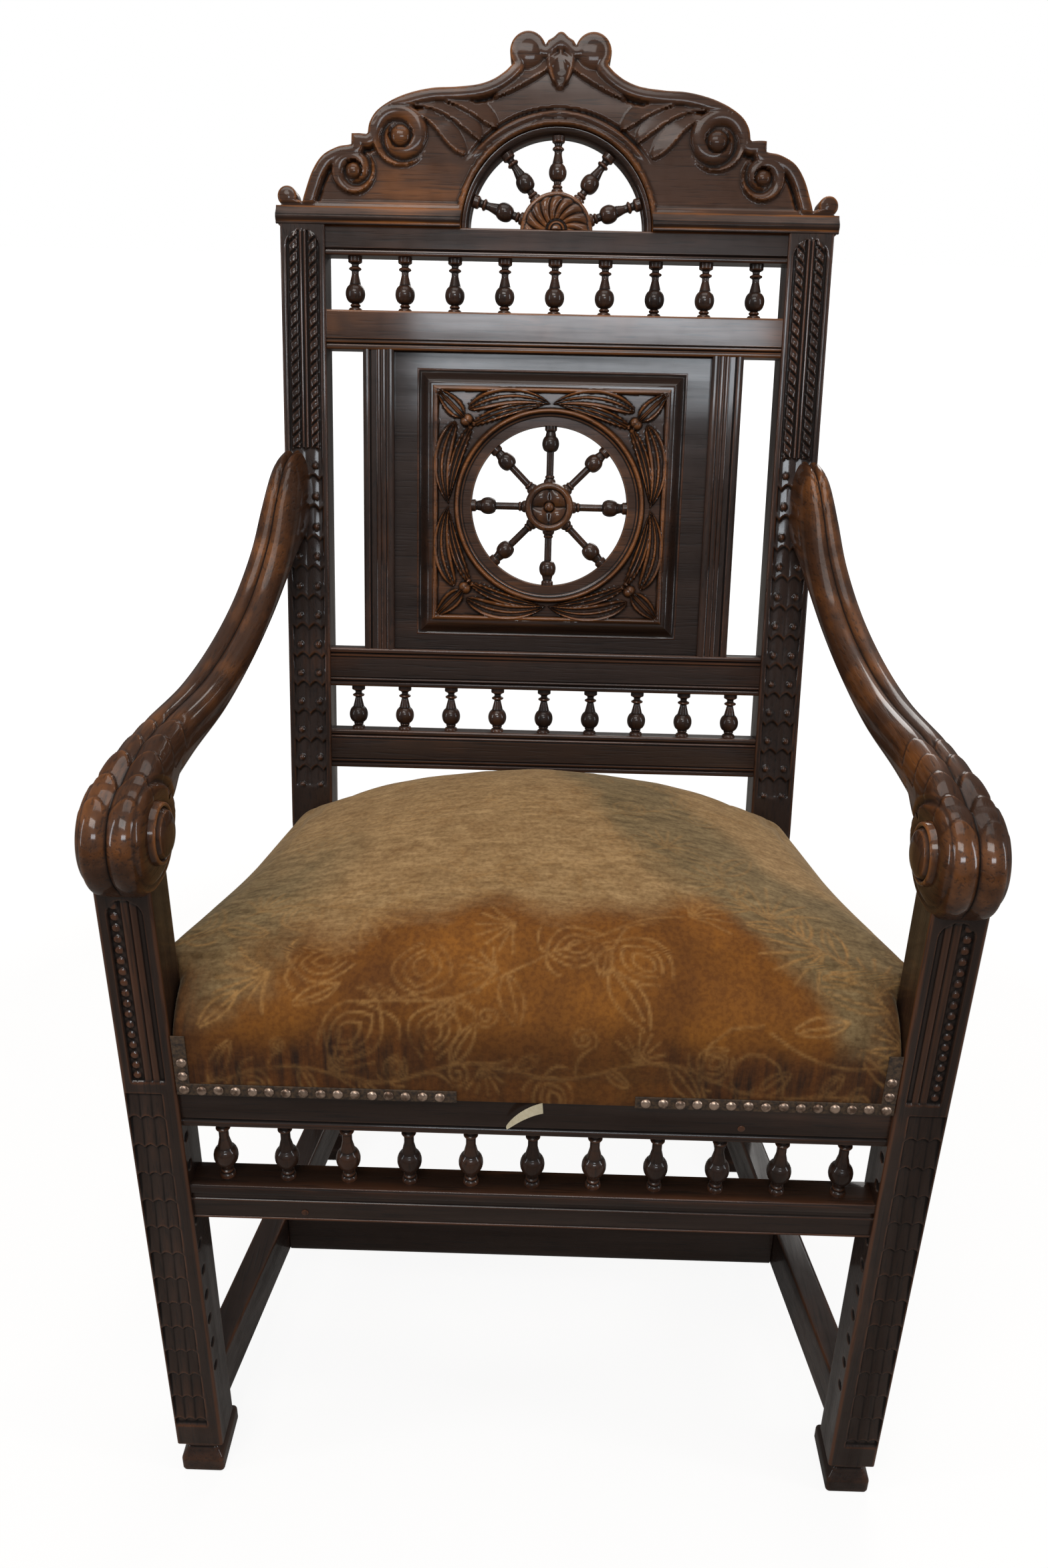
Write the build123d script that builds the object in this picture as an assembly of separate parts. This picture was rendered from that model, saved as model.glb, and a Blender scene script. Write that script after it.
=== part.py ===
from build123d import *
from math import cos, radians, sin, sqrt, tan
import os

# Carved oak armchair: raked open back with turned galleries and two spoked wheels,
# scrolled arms on square front legs, a stuffed seat, and an H of stretchers.
# While it is modelled, Y = 0 is the front of the front legs, Z = 0 the floor, and X = 0
# the middle. Everything is moved back at export, so that the origin ends in the middle
# of the chair's outline on the floor. The front looks along -Y.

# ---------------------------------------------------------------- driving dimensions, mm

# front legs, which carry the arms
FRONT_WIDTH = 640.0            # over the two front legs
LEG_WIDTH = 42.0
LEG_DEPTH = 40.0
LEG_TOP = 626.0                # shoulder under the arm scroll
LEG_PANEL_DEPTH = 2.5          # sunk panel on the front of each leg
LEG_PANEL_MARGIN = 8.0

# back posts: straight below the knee, leaning back above it
BACK_WIDTH = 542.0             # over the two posts
POST_WIDTH = 44.0
POST_DEPTH = 38.0
POST_FRONT = 430.0             # front of the posts behind the front of the legs
RAKE = 12.4                    # degrees
KNEE = 462.0                   # height where the posts start to lean

# shoes under the four legs
SHOE_HEIGHT = 38.0
SHOE_WIDTH = 39.0
SHOE_NECK = 4.0                # how far its sides curve in below the leg
SHOE_HEEL = 18.0               # how far it runs past the leg, towards the middle
SHOE_PLATE = 18.0              # height of its full-width foot
SHOE_EASE = 3.0                # rounded edges

# joints and clearances
TENON_LENGTH = 13.0
TENON_THICK = 10.0
TENON_SHOULDER = 6.0           # shoulder above and below a tenon
FIT = 0.2                      # round tenons, in grooves and under dry pieces

# rails, stretchers and the front gallery
SIDE_THICK = 25.0              # side rails and side stretchers
SIDE_INSET = 1.0               # their inner faces, outside the inner faces of the legs
RAIL_SETBACK = 5.0             # front rails behind the front of the legs
FRONT_RAIL_THICK = 27.0
SEAT_RAIL_Z = 408.0
SEAT_RAIL_HEIGHT = 58.0
SEAT_RAIL_LINE = (6.0, 2.0)    # groove over its lower edge: how high and how wide
LINE_DEPTH = 1.2
REAR_RAIL_DROP = 10.0          # rear seat rail below the others
REAR_RAIL_INSET = 4.0          # and inside both faces of the posts
GALLERY_RAIL_Z = 313.0
GALLERY_RAIL_HEIGHT = 35.0
GALLERY_RAIL_MOULD = 5.0       # moulded nose on its upper front edge
GALLERY_RAIL_NOSE = 2.0        # how far the nose stands out
STRETCHER_Z = 56.0
STRETCHER_HEIGHT = 53.0
CROSS_Y = 214.0                # front of the cross stretcher
CROSS_THICK = 25.0
CHAMFER = 5.0                  # lower edges of the stretchers

# turned balusters and spokes
FRONT_SPINDLES = 11
FRONT_BALL = 20.0
FRONT_FOOT = 13.0
FRONT_NECK = 8.0
BACK_SPINDLES = 9
BACK_BALL = 19.0
BACK_FOOT = 14.0
BACK_NECK = 7.0
SPINDLE_END = 27.5             # middle of the last baluster from the leg or post
BALL_SHARE = 0.35              # height of the ball, as a share of the baluster
COLLAR = 5.5                   # plain collar at the top
FOOT = 2.5                     # plain foot
RING_DROP = 8.0                # thin ring below the collar
RING_HALF = 2.0                # half its height

# the framed back, stacked up the slope from the knee
RAIL_THICK = 24.0
RAIL_RECESS = 4.0              # behind the front of the posts
BOTTOM_RAIL_AT = 62.6          # lower edge of the lowest rail
BOTTOM_RAIL_HEIGHT = 41.7
LOWER_GALLERY = 46.6           # clear height of the lower balusters
THIRD_RAIL_HEIGHT = 41.0
PANEL_HEIGHT = 299.4           # clear height of the panel
SECOND_RAIL_HEIGHT = 37.9
UPPER_GALLERY = 50.4           # clear height of the upper balusters
TOP_RAIL_HEIGHT = 27.4
BEAD = 2.4                     # rounded edges of the back rails
BEAD_LINE = 1.0                # depth of the line inside each bead

# the panel between the second and third rails
STILE_GAP = 36.0               # open window between post and stile
STILE_WIDTH = 31.0
PANEL_THICK = 9.0
PANEL_RECESS = 14.0            # its face behind the front of the posts
PANEL_TONGUE = 5.0             # hidden in the stiles and rails
SQUARE_WIDTH = 240.0
SQUARE_HEIGHT = 235.0
SQUARE_THICK = 22.0
SQUARE_RECESS = 2.0
SQUARE_TONGUE = 4.0            # lip of the square behind the panel
SQUARE_BORDER = 5.0            # raised border round the carved face
CARVING_DEPTH = 2.5
BEVEL_WIDTH = 17.0             # sloping moulding round the square
BEVEL_DROP = 3.0               # its inner edge behind the face of the square
BEVEL_EDGE = 1.0               # flat top of its inner edge

# the wheel in the square
RING_INNER = 80.5
RING_WIDTH = 17.0
RING_THICK = 25.0
RING_RECESS = 0.5
RING_CROWN = 6.0               # height of its rounded face
HUB_RADIUS = 25.0
HUB_THICK = 24.0
HUB_RECESS = 1.0
HUB_DISH = 4.0                 # sunk middle of a hub, and the drop at its rim
SPOKES = 8
SPOKE_BALL = 17.0
SPOKE_FOOT = 9.0
SPOKE_NECK = 6.0
SPOKE_BALL_SHARE = 0.7         # the ball stands towards the ring

# the crest
CREST_THICK = 24.0
CREST_RECESS = 3.0
CREST_PEAK = 174.0             # height of the middle point over the top rail
CREST_TIP_GAP = 8.0            # drop from the point to the valley beside it
TOP_SCROLL_RADIUS = 17.5
TOP_SCROLL_OUT = 31.0
TOP_SCROLL_DROP = 17.0         # its middle below the point
LARGE_EYE = (118.0, 82.0)      # middle of the large scroll: in from the end, and up
LARGE_EYE_RADIUS = 20.0
SMALL_EYE = (72.0, 50.0)
SMALL_EYE_RADIUS = 18.0
EYE_RELIEF = 3.0
EYE_LINE = 5.0                 # width of the raised line round an eye
EYE_DOT = 0.35                 # its raised middle, as a share of the radius
END_CURL_RADIUS = 8.5
END_CURL = (11.0, 26.0)
SPUR = 11.0                    # step between the two scrolls
ARCH_RADIUS = 94.0
RIM_THICK = 9.0
RIM_DEPTH = 20.0
RIM_RECESS = 4.0
CREST_HUB_RADIUS = 35.5
CREST_HUB_THICK = 22.0
CREST_SPOKES = 5
CREST_BALL_SHARE = 0.36        # the ball stands towards the hub
CREST_MOULD_HEIGHT = 17.0
CREST_MOULD_THICK = 7.0
CREST_MOULD_OVER = 1.5         # how far it runs past the ends of the crest

# arms, each a scroll on the leg and a curved bar to the post
ARM_OVER = 2.0                 # outside the leg at the front
ARM_OVER_BACK = 9.0            # outside the post at the back
ARM_END = 95.0                 # how far the bar is drawn past the knee, into the post
SCROLL_RADIUS = 43.0
SCROLL_Y = 18.0
SCROLL_RISE = 34.0             # its middle over the top of the leg
SCROLL_WIDTH = 48.0
SCROLL_EDGE = 5.0
BOSS_RADIUS = 24.0
BOSS_HEIGHT = 14.0
BOSS_RISE = 4.0                # its middle over the middle of the scroll
BOSS_STEP = (3.0, 4.0)         # ledge round its dome: how wide and how high
# stations of the bar: share of its run, underside and top over the leg, width
ARM_BAR = [
    (0.00, 14.0, 75.0, 45.0),
    (0.08, 42.0, 87.0, 43.0),
    (0.20, 48.0, 88.0, 42.0),
    (0.36, 54.0, 87.0, 41.0),
    (0.51, 68.0, 97.0, 40.0),
    (0.65, 86.0, 118.0, 39.0),
    (0.77, 104.0, 151.0, 38.0),
    (0.85, 115.0, 188.0, 37.0),
    (0.92, 124.0, 214.0, 36.0),
    (1.00, 130.0, 221.0, 35.0),
]
ARM_ROUND = 0.42               # corner radius of the bar, as a share of its thinner side

# seat
SEAT_SKIRT_DROP = 22.0         # lower edge of the cover, below the top of the rails
SEAT_SKIRT_THICK = 4.0         # cover and wadding outside the rails
SEAT_CLEAR = 0.3               # soft seat to wood
# stations of the crown: behind the leg front, height over the rails at the sides, in the middle
SEAT_CROWN_FRONT = [
    (1.0, 34.0, 46.0),
    (18.0, 62.0, 80.0),
    (60.0, 70.0, 105.0),
]
# and the same before the posts
SEAT_CROWN_REAR = [
    (215.0, 42.0, 111.0),
    (40.0, 24.0, 89.0),
    (4.0, 8.0, 62.0),
]
SEAT_WEBS_ACROSS = 5
SEAT_WEBS_ALONG = 5
WEB_WIDTH = 50.0
WEB_THICK = 1.6
WEB_LAP = 6.0                  # how far a web runs under the front and the rear rail
BRAID_HEIGHT = 11.0
BRAID_THICK = 1.2
TORN_GAP = (-60.0, 78.0)       # stretch of the front that has lost its braid and nails
NAIL_PITCH = 13.0
NAIL_RADIUS = 4.6
NAIL_HEIGHT = 2.6
NAIL_TOP = 0.45                # flat top of a nail, as a share of its radius
NAIL_SIDES = 6
NAIL_EDGE = 2.0                # nails from the corners of the cover
PEG_RADIUS = 3.0
PEG_STAND = 0.8
PEG_ON_SEAT_RAIL = (163.0, 14.5)       # across, and up from the lower edge
PEG_ON_GALLERY_RAIL = (-186.0, 8.0)

# ---------------------------------------------------------------- places worked out

SIN = sin(radians(RAKE))
COS = cos(radians(RAKE))
LEG_OUT = FRONT_WIDTH / 2
LEG_IN = LEG_OUT - LEG_WIDTH
POST_OUT = BACK_WIDTH / 2
POST_IN = POST_OUT - POST_WIDTH
SEAT_RAIL_TOP = SEAT_RAIL_Z + SEAT_RAIL_HEIGHT
GALLERY_RAIL_TOP = GALLERY_RAIL_Z + GALLERY_RAIL_HEIGHT
SCROLL_Z = LEG_TOP + SCROLL_RISE
SKIRT_Z = SEAT_RAIL_TOP - SEAT_SKIRT_DROP
STILE_OUT = POST_IN - STILE_GAP
RING_OUTER = RING_INNER + RING_WIDTH
EXTRA = 80.0                   # overrun of a cutting block


def above(rail, clear, height):
    """Lower and upper edge of the rail that stands a clear distance above another."""
    low = rail[1] + clear
    return (low, low + height)


BOTTOM_RAIL = above((0.0, 0.0), BOTTOM_RAIL_AT, BOTTOM_RAIL_HEIGHT)
THIRD_RAIL = above(BOTTOM_RAIL, LOWER_GALLERY, THIRD_RAIL_HEIGHT)
SECOND_RAIL = above(THIRD_RAIL, PANEL_HEIGHT, SECOND_RAIL_HEIGHT)
TOP_RAIL = above(SECOND_RAIL, UPPER_GALLERY, TOP_RAIL_HEIGHT)
SLOPE_TOP = TOP_RAIL[1]
REAR_MOST = POST_FRONT + (SLOPE_TOP + CREST_PEAK) * SIN + (CREST_RECESS + CREST_THICK) * COS
FRONT_MOST = SCROLL_Y - SCROLL_RADIUS
Y_SHIFT = -(REAR_MOST + FRONT_MOST) / 2

# the leaning plane of the post fronts: x across, y up the slope, z out of the front
BACK = Plane(origin=(0, POST_FRONT, KNEE), x_dir=(1, 0, 0), z_dir=(0, -COS, SIN))


def side_x(y):
    """Middle of a side rail or side stretcher at a depth y."""
    front = LEG_IN + SIDE_INSET + SIDE_THICK / 2
    back = POST_IN + SIDE_INSET + SIDE_THICK / 2
    share = (y - LEG_DEPTH) / (POST_FRONT - LEG_DEPTH)
    return front + (back - front) * share


def block(x0, x1, y0, y1, z0, z1):
    """A straight block between two corners."""
    size = (x1 - x0, y1 - y0, z1 - z0)
    return Pos((x0 + x1) / 2, (y0 + y1) / 2, (z0 + z1) / 2) * Box(*size)


def prism(points, plane, amount):
    """An outline of straight lines in a plane, pushed out along the plane's normal."""
    outline = plane * make_face(Polyline(*points, close=True))
    return extrude(outline, amount, dir=plane.z_dir)


def back_block(x0, x1, s0, s1, n0, n1):
    """A block in the leaning frame: across, up the slope, out of the front."""
    return BACK * block(x0, x1, s0, s1, n0, n1)


def mirrored(shape):
    """The same piece for the other side of the chair."""
    return mirror(shape, Plane.YZ)


# ---------------------------------------------------------------- joints

def level_tenon(x_end, y_mid, z0, z1, grow=0.0):
    """One long tongue through a rail that runs across, ending in a tenon at each end."""
    long = x_end + TENON_LENGTH + grow
    half = TENON_THICK / 2 + grow
    low, high = z0 + TENON_SHOULDER - grow, z1 - TENON_SHOULDER + grow
    return block(-long, long, y_mid - half, y_mid + half, low, high)


def side_tenon(z0, z1, grow=0.0):
    """The same tongue through a side rail, on the right of the chair."""
    y0 = LEG_DEPTH - TENON_LENGTH - grow
    y1 = POST_FRONT + TENON_LENGTH + grow
    half = TENON_THICK / 2 + grow
    low, high = z0 + TENON_SHOULDER - grow, z1 - TENON_SHOULDER + grow
    outline = [(side_x(y0) - half, y0), (side_x(y0) + half, y0),
               (side_x(y1) + half, y1), (side_x(y1) - half, y1)]
    return prism(outline, Plane.XY.offset(low), high - low)


def back_tenon(rail, x_end, grow=0.0):
    """The same tongue through a rail of the leaning back."""
    long = x_end + TENON_LENGTH + grow
    middle = -RAIL_RECESS - RAIL_THICK / 2
    half = TENON_THICK / 2 + grow
    low, high = rail[0] + TENON_SHOULDER - grow, rail[1] - TENON_SHOULDER + grow
    return back_block(-long, long, low, high, middle - half, middle + half)


FRONT_RAIL_MID = RAIL_SETBACK + FRONT_RAIL_THICK / 2
REAR_RAIL_MID = POST_FRONT + POST_DEPTH / 2
BACK_RAILS = {
    "bottom_back_rail": BOTTOM_RAIL,
    "third_back_rail": THIRD_RAIL,
    "second_back_rail": SECOND_RAIL,
    "top_back_rail": TOP_RAIL,
}


# ---------------------------------------------------------------- legs, posts and shoes

def front_leg():
    """Right front leg with its sunk panel, the mortises of three rails and an arm tenon."""
    leg = block(LEG_IN, LEG_OUT, 0, LEG_DEPTH, SHOE_HEIGHT, LEG_TOP)
    panel = block(LEG_IN + LEG_PANEL_MARGIN, LEG_OUT - LEG_PANEL_MARGIN,
                  -EXTRA, LEG_PANEL_DEPTH, SEAT_RAIL_TOP, LEG_TOP - LEG_WIDTH / 2)
    arch_radius = LEG_WIDTH / 2 - LEG_PANEL_MARGIN
    arch = Pos((LEG_IN + LEG_OUT) / 2, LEG_PANEL_DEPTH / 2, LEG_TOP - LEG_WIDTH / 2)
    arch = arch * Rot(90, 0, 0) * Cylinder(arch_radius, LEG_PANEL_DEPTH)
    leg = leg - panel - arch + arm_tenon()
    leg -= level_tenon(LEG_IN, FRONT_RAIL_MID, SEAT_RAIL_Z, SEAT_RAIL_TOP, FIT)
    leg -= level_tenon(LEG_IN, FRONT_RAIL_MID, GALLERY_RAIL_Z, GALLERY_RAIL_TOP, FIT)
    leg -= side_tenon(SEAT_RAIL_Z, SEAT_RAIL_TOP, FIT)
    leg -= side_tenon(STRETCHER_Z, STRETCHER_Z + STRETCHER_HEIGHT, FIT)
    return leg


def arm_tenon(grow=0.0):
    """Square tenon on top of the right leg, up into the arm scroll."""
    half = TENON_THICK + grow
    middle_x, middle_y = (LEG_IN + LEG_OUT) / 2, LEG_DEPTH / 2
    top = LEG_TOP + TENON_LENGTH + grow
    return block(middle_x - half, middle_x + half, middle_y - half, middle_y + half,
                 LEG_TOP - FIT, top)


def back_post():
    """Right back post: rear leg and leaning upright in one piece, with its mortises."""
    depth = POST_DEPTH
    knee_turn = depth * tan(radians(RAKE) / 2)
    top_y, top_z = POST_FRONT + SLOPE_TOP * SIN, KNEE + SLOPE_TOP * COS
    outline = [(POST_FRONT, SHOE_HEIGHT), (POST_FRONT, KNEE), (top_y, top_z),
               (top_y + depth * COS, top_z - depth * SIN),
               (POST_FRONT + depth, KNEE - knee_turn), (POST_FRONT + depth, SHOE_HEIGHT)]
    post = prism(outline, Plane.YZ.offset(POST_IN), POST_WIDTH)
    for rail in BACK_RAILS.values():
        post -= back_tenon(rail, POST_IN, FIT)
    rear_top = SEAT_RAIL_TOP - REAR_RAIL_DROP
    post -= level_tenon(POST_IN, REAR_RAIL_MID, SEAT_RAIL_Z, rear_top, FIT)
    post -= side_tenon(SEAT_RAIL_Z, SEAT_RAIL_TOP, FIT)
    post -= side_tenon(STRETCHER_Z, STRETCHER_Z + STRETCHER_HEIGHT, FIT)
    return post


def shoe(middle_x, face, heel_end):
    """Moulded shoe: its sides curve in to a neck, and its heel runs past the leg."""
    half, ease = SHOE_WIDTH / 2, SHOE_EASE
    neck = half - SHOE_NECK
    low, high = SHOE_PLATE - ease, SHOE_PLATE + ease
    with BuildSketch(Plane.XZ.offset(-min(face, heel_end))) as front:
        with BuildLine():
            left = Polyline((-half + ease, 0), (-half, ease), (-half, low))
            curve = ThreePointArc(left @ 1, (-neck - ease / 3, high), (-neck, SHOE_HEIGHT))
            top = Line(curve @ 1, (neck, SHOE_HEIGHT))
            back = ThreePointArc(top @ 1, (neck + ease / 3, high), (half, low))
            Polyline(back @ 1, (half, ease), (half - ease, 0), (-half + ease, 0))
        make_face()
    body = Pos(middle_x, 0, 0) * extrude(front.sketch, abs(heel_end - face), dir=(0, 1, 0))
    toward = 1 if heel_end > face else -1
    leg_end = heel_end - toward * SHOE_HEEL
    neck_face = face + toward * SHOE_NECK
    outline = [(face + toward * ease, 0), (face, ease), (face, SHOE_PLATE),
               (neck_face, high + ease), (neck_face, SHOE_HEIGHT), (leg_end, SHOE_HEIGHT),
               (heel_end - toward * 2 * ease, high + ease), (heel_end, SHOE_PLATE),
               (heel_end, ease), (heel_end - toward * ease, 0)]
    side = prism(outline, Plane.YZ.offset(middle_x - SHOE_WIDTH), 2 * SHOE_WIDTH)
    return body & side


# ---------------------------------------------------------------- rails and stretchers

def front_seat_rail():
    """Rail under the front of the seat, with a shallow groove above its lower edge."""
    y0, y1 = RAIL_SETBACK, RAIL_SETBACK + FRONT_RAIL_THICK
    rail = block(-LEG_IN, LEG_IN, y0, y1, SEAT_RAIL_Z, SEAT_RAIL_TOP)
    line_z = SEAT_RAIL_Z + SEAT_RAIL_LINE[0]
    groove = block(-LEG_IN, LEG_IN, y0 - EXTRA, y0 + LINE_DEPTH, line_z, line_z + SEAT_RAIL_LINE[1])
    return rail - groove + level_tenon(LEG_IN, FRONT_RAIL_MID, SEAT_RAIL_Z, SEAT_RAIL_TOP)


def gallery_rail():
    """Rail under the front spindles: a rounded nose and a step on its upper edge."""
    face, y1 = RAIL_SETBACK, RAIL_SETBACK + FRONT_RAIL_THICK
    y0 = face - GALLERY_RAIL_NOSE
    top, nose, low = GALLERY_RAIL_TOP, GALLERY_RAIL_MOULD, GALLERY_RAIL_Z
    sunk, ease = face + LINE_DEPTH, GALLERY_RAIL_NOSE
    with BuildSketch(Plane.YZ.offset(-LEG_IN)) as profile:
        with BuildLine():
            foot = Polyline((sunk, top - 2 * nose), (sunk, top - 3 * nose),
                            (face, top - 3 * nose - LINE_DEPTH), (face, low + ease),
                            (face + ease, low), (y1, low), (y1, top), (y0 + nose, top))
            ThreePointArc(foot @ 1, (y0, top - nose), (sunk, top - 2 * nose))
        make_face()
    rail = extrude(profile.sketch, 2 * LEG_IN, dir=(1, 0, 0))
    return rail + level_tenon(LEG_IN, FRONT_RAIL_MID, GALLERY_RAIL_Z, GALLERY_RAIL_TOP)


def rear_seat_rail():
    """Rail between the posts, behind the seat."""
    y0, y1 = POST_FRONT + REAR_RAIL_INSET, POST_FRONT + POST_DEPTH - REAR_RAIL_INSET
    top = SEAT_RAIL_TOP - REAR_RAIL_DROP
    rail = block(-POST_IN, POST_IN, y0, y1, SEAT_RAIL_Z, top)
    return rail + level_tenon(POST_IN, REAR_RAIL_MID, SEAT_RAIL_Z, top)


def side_body(z0, z1):
    """Plain body of a right side rail, splayed between the leg and the post."""
    half = SIDE_THICK / 2
    y0, y1 = LEG_DEPTH, POST_FRONT
    outline = [(side_x(y0) - half, y0), (side_x(y0) + half, y0),
               (side_x(y1) + half, y1), (side_x(y1) - half, y1)]
    return prism(outline, Plane.XY.offset(z0), z1 - z0)


def side_seat_rail():
    """Right seat rail."""
    return side_body(SEAT_RAIL_Z, SEAT_RAIL_TOP) + side_tenon(SEAT_RAIL_Z, SEAT_RAIL_TOP)


def side_stretcher():
    """Right side stretcher, with a chamfer along its inner lower edge."""
    z0, z1 = STRETCHER_Z, STRETCHER_Z + STRETCHER_HEIGHT
    rail = side_body(z0, z1)
    half = SIDE_THICK / 2
    inner = rail.edges().group_by(Axis.Z)[0].sort_by(SortBy.LENGTH)[-2:].sort_by(Axis.X)[0]
    rail = chamfer(inner, CHAMFER)
    rail += side_tenon(z0, z1)
    return rail - cross_tenon(FIT)


def cross_inner(y):
    """Inner face of the right side stretcher at a depth y."""
    return side_x(y) - SIDE_THICK / 2


def cross_tenon(grow=0.0):
    """Tongue through the cross stretcher, ending in the side stretchers."""
    middle = CROSS_Y + CROSS_THICK / 2
    half = TENON_THICK / 2 + grow
    long = cross_inner(middle) + TENON_LENGTH + grow
    low = STRETCHER_Z + TENON_SHOULDER + CHAMFER - grow
    high = STRETCHER_Z + STRETCHER_HEIGHT - TENON_SHOULDER + grow
    return block(-long, long, middle - half, middle + half, low, high)


def cross_stretcher():
    """Bar between the side stretchers, chamfered below, its ends cut to their splay."""
    y0, y1 = CROSS_Y, CROSS_Y + CROSS_THICK
    x0, x1 = cross_inner(y0), cross_inner(y1)
    outline = [(-x0, y0), (x0, y0), (x1, y1), (-x1, y1)]
    bar = prism(outline, Plane.XY.offset(STRETCHER_Z), STRETCHER_HEIGHT)
    front_low = bar.edges().filter_by(Axis.X).group_by(Axis.Z)[0].sort_by(Axis.Y)[0]
    bar = chamfer(front_low, CHAMFER)
    bar -= side_body(STRETCHER_Z, STRETCHER_Z + STRETCHER_HEIGHT)
    bar -= mirrored(side_body(STRETCHER_Z, STRETCHER_Z + STRETCHER_HEIGHT))
    return bar + cross_tenon()


def back_rail(rail):
    """Rail of the leaning back, a bead along both front edges, tenoned into the posts."""
    low, high = rail
    face, rear, bead = -RAIL_RECESS, -RAIL_RECESS - RAIL_THICK, BEAD
    line, inside, sunk = 2 * bead, 2.6 * bead, face - BEAD_LINE
    corner = bead * (1 - sqrt(0.5))
    with BuildSketch(Plane.YZ.offset(-POST_IN)) as profile:
        with BuildLine():
            start = Polyline((low, face - bead), (low, rear), (high, rear), (high, face - bead))
            upper = ThreePointArc(start @ 1, (high - corner, face - corner), (high - bead, face))
            steps = Polyline(upper @ 1, (high - line, face), (high - line, sunk),
                             (high - inside, sunk), (high - inside, face),
                             (low + inside, face), (low + inside, sunk),
                             (low + line, sunk), (low + line, face), (low + bead, face))
            ThreePointArc(steps @ 1, (low + corner, face - corner), (low, face - bead))
        make_face()
    return BACK * extrude(profile.sketch, 2 * POST_IN, dir=(1, 0, 0)) + back_tenon(rail, POST_IN)


# ---------------------------------------------------------------- turned work

def turned(length, ball, ball_share, foot, neck):
    """A baluster on Z from 0 to length: foot, ball, slim neck, thin ring and collar."""
    top = length - COLLAR
    ring = top - RING_DROP
    ball_at = length * ball_share
    reach, slim, wide = ball / 2, neck / 2, foot / 2
    with BuildSketch(Plane.XZ) as half:
        with BuildLine():
            low = Polyline((0, 0), (wide, 0), (wide, FOOT), (slim, ball_at - reach * 0.9))
            belly = ThreePointArc(low @ 1, (reach, ball_at), (slim, ball_at + reach * 0.95))
            Polyline(belly @ 1, (slim, ring - RING_HALF), (slim + RING_HALF, ring),
                     (slim, ring + RING_HALF), (slim, top - RING_HALF), (wide, top),
                     (wide, length), (0, length), (0, 0))
        make_face()
    return revolve(half.sketch, Axis.Z)


def spaced(count, half):
    """Places of the balusters between two uprights at plus and minus half."""
    last = half - SPINDLE_END
    return [last * (2 * index / (count - 1) - 1) for index in range(count)]


def back_gallery(low, high):
    """A row of balusters between two rails of the back, the ball nearer the lower rail."""
    baluster = turned(high - low, BACK_BALL, BALL_SHARE, BACK_FOOT, BACK_NECK)
    row = []
    for x in spaced(BACK_SPINDLES, POST_IN):
        place = Pos(x, low, -RAIL_RECESS - RAIL_THICK / 2) * Rot(-90, 0, 0)
        row.append(BACK * place * baluster)
    return Compound(children=row)


def front_gallery():
    """The row of balusters between the gallery rail and the seat rail."""
    length = SEAT_RAIL_Z - GALLERY_RAIL_TOP
    baluster = turned(length, FRONT_BALL, BALL_SHARE, FRONT_FOOT, FRONT_NECK)
    row = []
    for x in spaced(FRONT_SPINDLES, LEG_IN):
        row.append(Pos(x, FRONT_RAIL_MID, GALLERY_RAIL_TOP) * baluster)
    return Compound(children=row)


def wheel_spokes(turns, inner, outer, middle, ball_share, plane_n):
    """Turned spokes between a hub and a rim, in the leaning plane."""
    start = inner + FIT
    end = sqrt(outer ** 2 - (SPOKE_FOOT / 2) ** 2) - FIT
    spoke = turned(end - start, SPOKE_BALL, ball_share, SPOKE_FOOT, SPOKE_NECK)
    spokes = []
    for turn in turns:
        place = Pos(0, middle, plane_n) * Rot(0, 0, turn) * Pos(start, 0, 0) * Rot(0, 90, 0)
        spokes.append(BACK * place * spoke)
    return Compound(children=spokes)


# ---------------------------------------------------------------- panel and wheel

PANEL_MID = (THIRD_RAIL[1] + SECOND_RAIL[0]) / 2


def stile():
    """Right stile of the panel, a bead along both front edges."""
    x0, x1 = STILE_OUT - STILE_WIDTH, STILE_OUT
    body = block(x0, x1, THIRD_RAIL[1], SECOND_RAIL[0], -RAIL_RECESS - RAIL_THICK, -RAIL_RECESS)
    long_front = body.edges().filter_by(Axis.Y).group_by(Axis.Z)[-1]
    body = fillet(long_front, BEAD)
    groove = block(x0, x0 + PANEL_TONGUE, THIRD_RAIL[1], SECOND_RAIL[0],
                   -PANEL_RECESS - PANEL_THICK - FIT, -PANEL_RECESS + FIT)
    return BACK * (body - groove)


def panel():
    """Flat panel with a square window, its side tongues in the stiles."""
    half = STILE_OUT - STILE_WIDTH + PANEL_TONGUE - FIT
    plate = block(-half, half, THIRD_RAIL[1], SECOND_RAIL[0],
                  -PANEL_RECESS - PANEL_THICK, -PANEL_RECESS)
    window = block(-SQUARE_WIDTH / 2, SQUARE_WIDTH / 2, PANEL_MID - SQUARE_HEIGHT / 2,
                   PANEL_MID + SQUARE_HEIGHT / 2, -EXTRA, EXTRA)
    return BACK * (plate - window)


def bevel_frame():
    """Sloping moulding on the panel, round the carved square."""
    width, height = SQUARE_WIDTH, SQUARE_HEIGHT
    outer = Pos(0, PANEL_MID) * Rectangle(width + 2 * BEVEL_WIDTH, height + 2 * BEVEL_WIDTH)
    inner = Pos(0, PANEL_MID) * Rectangle(width + 2 * BEVEL_EDGE, height + 2 * BEVEL_EDGE)
    rise = PANEL_RECESS - SQUARE_RECESS - BEVEL_DROP
    slope = loft([Pos(0, 0, -PANEL_RECESS) * outer, Pos(0, 0, -PANEL_RECESS + rise) * inner])
    window = block(-width / 2, width / 2, PANEL_MID - height / 2, PANEL_MID + height / 2,
                   -EXTRA, EXTRA)
    return BACK * (slope - window)


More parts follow.
